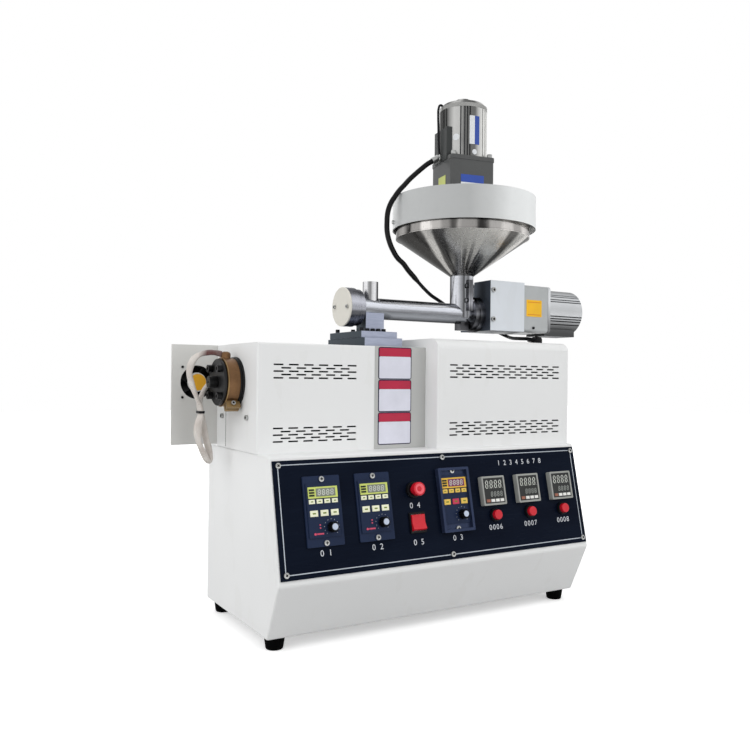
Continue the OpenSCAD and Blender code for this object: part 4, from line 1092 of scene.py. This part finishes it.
# The motor's bands are painted reflections and shade round its axis.
motor_alu = polished("motor_aluminium", "X", (0, motor_y, motor_z), [
    (-180, 120), (-110, 70), (-60, 74), (-42, 104), (-20, 158), (2, 190), (20, 212), (42, 214), (60, 186),
    (76, 158),
    (95, 150), (180, 120)], (0.99, 1, 1.01), 0.4, (1, 1, 1), 0.04)
motor = finned("feeder_motor", "feeder_motor_casing", "X",
               (motor_low.x + 0.0495, motor_y, motor_z), 37, motor_alu, fin_gap_painted_shade)
# The casing below the gear case is painted dark as shade under the motor.
paint(motor, 1, lambda centre, normal: centre.z < gear_low.z - 0.0005)
fit(motor, "motor_aluminium", "feeder_motor")
spots = [facing((motor_low.x + 0.0060, y, z), (1, 0, 0), 0.0032)
         for y in (motor_low.y + 0.0075, motor_high.y - 0.0075)
         for z in (motor_high.z - 0.0825, motor_high.z - 0.0075)]
repeat(socket_screw, "feeder_motor_screws", "motor_aluminium", spots, black_screw)


# ---- Feed tube --------------------------------------------------------------
# The tube that drops material into the feeder, polished, with a bolted clamp
# along its front and a small block under it.
tube_low, tube_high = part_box("feed_tube")
tube_at = (*((tube_low + tube_high) / 2).xy, 0)
# The tube's bands are painted reflections.
tube_steel = polished("polished_tube", "Z", tube_at, [
    (-180, 120), (-100, 60), (-78, 52), (-66, 90), (-54, 168), (-36, 226), (-18, 214), (-4, 158), (6, 120),
    (12, 60),
    (20, 150), (34, 96), (48, 200), (66, 214), (80, 110), (110, 80), (180, 120)], (0.98, 0.99, 1.02), 0.2,
    (1, 1, 10))
for node, finish, slot, width in (("feed_tube", tube_steel, "polished_steel", 0.0004),
                                  ("tube_clamp", flange_steel, "turned_steel", 0.0006),
                                  ("hopper_spigot", tube_steel, "polished_steel", 0.0003)):
    dress(node, node + "_finished", slot, width, 2, finish)
clamp_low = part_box("tube_clamp")[0]
spots = [facing((tube_at[0] - 0.0045, clamp_low.y + 0.0035, z), (-1, 0, 0), 0.0042) for z in (0.546, 0.573)]
repeat(socket_screw, "clamp_bolts", "turned_steel", spots)


# ---- Hopper -----------------------------------------------------------------
# A stainless cone with a straight rim, rolled and welded, polished bright, with
# painted reflection bands that run up the cone. A coated lid with a deep skirt
# hangs over the rim, held by two screws.
rim_low, rim_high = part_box("hopper_rim")
hop_at = (*((rim_low + rim_high) / 2).xy, 0)
# The cone's and the rim's bands are painted reflections.
cone_steel = polished("polished_cone", "Z", hop_at, [
    (-180, 150), (-120, 60), (-90, 56), (-60, 60), (-37, 74), (-34, 184), (-27, 206), (-25, 96), (-16, 92),
    (-12, 164), (0, 184), (20, 192), (38, 196), (42, 190), (45, 96), (53, 104), (57, 222), (70, 240),
    (74, 220),
    (77, 90), (90, 76), (130, 90), (180, 150)], (1, 0.99, 0.97), 0.26, (3, 3, 1), 0.25, (5, rim_low.z))
rim_steel = polished("polished_rim", "Z", hop_at, [
    (-180, 120), (-90, 80), (-72, 110), (-60, 180), (-52, 90), (-46, 160), (-36, 158), (-34, 240),
    (-27, 236),
    (-25, 190), (-18, 184), (-16, 148), (-11, 140), (-9, 80), (-6, 84), (-3, 172), (0, 150), (11, 146),
    (13, 50),
    (18, 56), (21, 110), (23, 168), (33, 174), (36, 212), (45, 206), (48, 164), (55, 172), (59, 240),
    (90, 210),
    (180, 120)], (1, 0.985, 0.97), 0.2, (3, 3, 1))
for node, finish, slot in (("hopper", cone_steel, "polished_steel"),
                           ("hopper_rim", rim_steel, "polished_steel")):
    shell = smooth(cast(node, node + "_finished", 0), 40)
    fit(settle(shell, node + "_finished", finish), slot, node)
seam = hoop(0.1236, 0.0022, 0.0016, Matrix.Translation((hop_at[0], hop_at[1], rim_low.z - 0.0012)))
fit(settle(seam, "hopper_rim_seam", rim_steel), "polished_steel")
# The lid's coat has painted shade and highlight in bands round it.
lid_coat_painted_light = polished("lid_coat_painted_light", "Z", hop_at, [
    (-180, 205), (-90, 208), (-55, 200), (-20, 184), (5, 178), (22, 200), (40, 234), (60, 246), (90, 236),
    (180, 205)],
    (0.99, 1, 1), 0.4, (1, 1, 1), 0.03)
lid_coat_painted_light.node_tree.nodes["Principled BSDF"].inputs["Metallic"].default_value = 0
# Dark paint for the lid's lower rim: painted shade under the lid.
lid_shade = moulded("lid_edge_painted_shade", tint(58, 58, 56), 0.5)
lid = settle(cast("hopper_lid", "hopper_lid_coated", 0.0009, 3), "hopper_lid_coated", lid_coat_painted_light, lid_shade)
lid_low, lid_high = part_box("hopper_lid")
# The lid's downward rim faces are painted dark as shade.
paint(lid, 1, lambda centre, normal: normal.z < -0.7 and centre.z < lid_low.z + 0.001)
fit(lid, "white_coat", "hopper_lid")
lid_mid = (lid_low + lid_high) / 2
spots = []
for a in (159, 339):
    out = Vector((cos(radians(a)), sin(radians(a)), 0))
    spots.append(facing(Vector((lid_mid.x, lid_mid.y, lid_low.z + 0.012)) + out * 0.1328, out, 0.0042))
repeat(bright_socket, "lid_screws", "turned_steel", spots)


# ---- Stirrer drive ----------------------------------------------------------
# A die-cast gear case on the lid, its grey painted darker as shade, and a finned
# motor with a ribbed terminal box. Blank nameplates in blue and white are stuck on both.
stirrer = Matrix.Translation((hop_at[0], hop_at[1], 0)) @ Matrix.Rotation(radians(-11), 4, "Z")
# The same grey casting as the feeder's gear case, painted darker here as shade.
case_grey_painted_shade = moulded("stirrer_case_painted_shade_grey", tint(84, 85, 85), 0.45, 0.3, {"Metallic": 0.25})
dress("stirrer_gear_case", "stirrer_gear_casting", "grey_cast", 0.0012, 3, case_grey_painted_shade)
# The stirrer motor's bands are painted reflections and shade round its axis.
stir_alu = polished("stirrer_aluminium", "Z", hop_at, [
    (-180, 120), (-110, 124), (-88, 116), (-60, 104), (-40, 104), (-34, 150), (-22, 196), (-8, 188),
    (2, 120),
    (14, 104), (30, 108), (40, 190), (58, 238), (90, 250), (135, 160), (180, 120)], (1, 1, 0.99), 0.4,
    (1, 1, 1), 0.04)
stir_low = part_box("stirrer_motor")[0]
motor = finned("stirrer_motor", "stirrer_motor_casing", "Z", (hop_at[0], hop_at[1], stir_low.z + 0.046),
               -28, stir_alu, fin_gap_painted_shade)
fit(motor, "motor_aluminium", "stirrer_motor")
bell_grey = moulded("motor_bell_grey", tint(150, 150, 148), 0.4, 0.2, {"Metallic": 0.5})
bell = hoop(0.0441, 0.0070, 0.0006, facing((hop_at[0], hop_at[1], 0.898), (0, 0, 1)))
fit(settle(bell, "stirrer_motor_bell", bell_grey), "motor_aluminium")
box_grey = moulded("terminal_box_grey", tint(58, 60, 60), 0.45, 0.3)
dress("terminal_box", "terminal_box_case", "grey_cast", 0.001, 3, box_grey)
dress("conduit_gland", "conduit_gland_nut", "turned_steel", 0.0006, 3, steel_screw)


def in_stirrer(piece):
    """Moves a piece made at the origin into the stirrer drive's place."""
    return move(piece, stirrer)


plate_blue = moulded("plate_blue", tint(40, 72, 158), 0.35, 0.04)
plate_white = moulded("plate_white", tint(220, 223, 226), 0.35, 0.04)
sticker_green = moulded("sticker_green", tint(196, 204, 104), 0.4, 0.04)
case_side = -0.0434
for name, width, height, x, y, z, turn, finish in (
        ("case_plate_blue", 0.0462, 0.0141, -0.0016, case_side, 0.76555, 0, plate_blue),
        ("case_plate_white", 0.0462, 0.0165, -0.0016, case_side, 0.7502, 0, plate_white),
        ("case_sticker", 0.0300, 0.0330, case_side, -0.003, 0.7585, -pi / 2, sticker_green)):
    plate = card(width, height, 0.0006, 0.0008)
    plate.matrix_world = Matrix.Translation((x, y, z)) @ Matrix.Rotation(turn, 4, "Z") @ upright
    fit(settle(in_stirrer(plate), name, finish), "grey_cast")
for name, a, finish in (("motor_plate_white", -4, plate_white), ("motor_plate_blue", 9, plate_blue)):
    plate = card(0.0100, 0.052, 0.0012, 0.0006)
    plate.matrix_world = Matrix.Rotation(radians(a), 4,
                                         "Z") @ Matrix.Translation((0, case_side, 0.855)) @ upright
    fit(settle(in_stirrer(plate), name, finish), "motor_aluminium")
discs = []
for a, z, radius in ((-42.5, 0.842, 0.0062), (3, 0.8152, 0.0047)):
    disc = drum(32, radius, 0.0008, (0, -0.0439, z), (pi / 2, 0, 0))
    disc.matrix_world = Matrix.Rotation(radians(a), 4, "Z")
    discs.append(in_stirrer(ease(disc, 0.0001, 1)))
fit(settle(joined(discs), "motor_stickers", plate_white), "motor_aluminium")
spots = [stirrer @ facing((x * 0.0365, y * 0.0365, 0.808), (0, 0, 1), 0.0048) for x in (-1, 1)
         for y in (-1, 1)]
spots = [spot @ Matrix.Diagonal((1, 1, 1.7, 1)) for spot in spots]
repeat(bright_socket, "stirrer_flange_screws", "turned_steel", spots)


# ---- Leads' fittings --------------------------------------------------------
# Black plastic domes where the leads enter the drive cover, the tie round the
# heater's lead and the mains cord's gland at the back.
fitting_black = moulded("fitting_black", tint(22, 22, 24), 0.45)
for node, name, width in (("cable_fittings", "lead_fittings", 0), ("lead_tie", "lead_tie_band", 0.0006),
                          ("cable_gland", "mains_gland", 0.001)):
    fit(settle(smooth(cast(node, name, width), 40), name, fitting_black), "black_plastic", node)

for pattern in (domed_screw, socket_screw, bright_socket):
    bpy.data.objects.remove(pattern)


# ---- Floor and light --------------------------------------------------------
# A plain white floor under soft lamps: a wide one in front, one high on the left
# and a weak one behind, in an evenly lit white room.
def in_view(stuff):
    """1 where the camera sees a surface, straight or in a mirror or glass, and 0 elsewhere."""
    rays = ("Is Camera Ray", "Is Glossy Ray", "Is Transmission Ray")
    seen = [stuff.node("ShaderNodeLightPath", output=ray) for ray in rays]
    return seen[0].math("MAXIMUM", seen[0], seen[1].math("MAXIMUM", seen[1], seen[2]))


bpy.ops.mesh.primitive_plane_add(size=16, location=(0, 0, -0.0002))
floor = bpy.context.object
floor.name = "floor"
paper = Finish("white_paper", {"Roughness": 0.9, "Specular IOR Level": 0.1, "Emission Strength": 1.0})
seen = in_view(paper)
away = paper.node("ShaderNodeVectorMath", {"operation": "LENGTH"}, {0: paper.place()}, 1)
away = paper.node("ShaderNodeMapRange", {"interpolation_type": "SMOOTHSTEP"},
                  {"Value": away, "From Min": 0.7, "From Max": 2.0})
paper.drive("Base Color", paper.mix(seen, tint(186, 186, 186), tint(252, 252, 252)))
glow = seen * (away * 0.6 + 0.4)
paper.drive("Emission Color",
            paper.node("ShaderNodeCombineColor", None, {"Red": glow, "Green": glow, "Blue": glow}))
floor.data.materials.append(paper.made)

world = bpy.data.worlds.new("white_room")
bpy.context.scene.world = world
room = Finish("white_room", {"Color": (1, 1, 1, 1)}, world)
seen = in_view(room)
room.drive("Strength", seen * 0.52 + 0.48)
for name, at, size, power in (("front_softbox", (1.0, -2.6, 1.9), 3.6, 52),
                              ("left_softbox", (-2.7, -0.4, 1.9), 3.6, 58),
                              ("rear_softbox", (0.6, 2.5, 2.2), 3.0, 18)):
    lamp_data = bpy.data.lights.new(name, "AREA")
    lamp_data.energy, lamp_data.size = power, size
    softbox = bpy.data.objects.new(name, lamp_data)
    bpy.context.collection.objects.link(softbox)
    softbox.location = at
    softbox.visible_glossy = name == "rear_softbox"
    softbox.rotation_euler = (Vector((0, 0, 0.45)) - Vector(at)).to_track_quat("-Z", "Y").to_euler()
bpy.context.scene.view_settings.view_transform = "Standard"
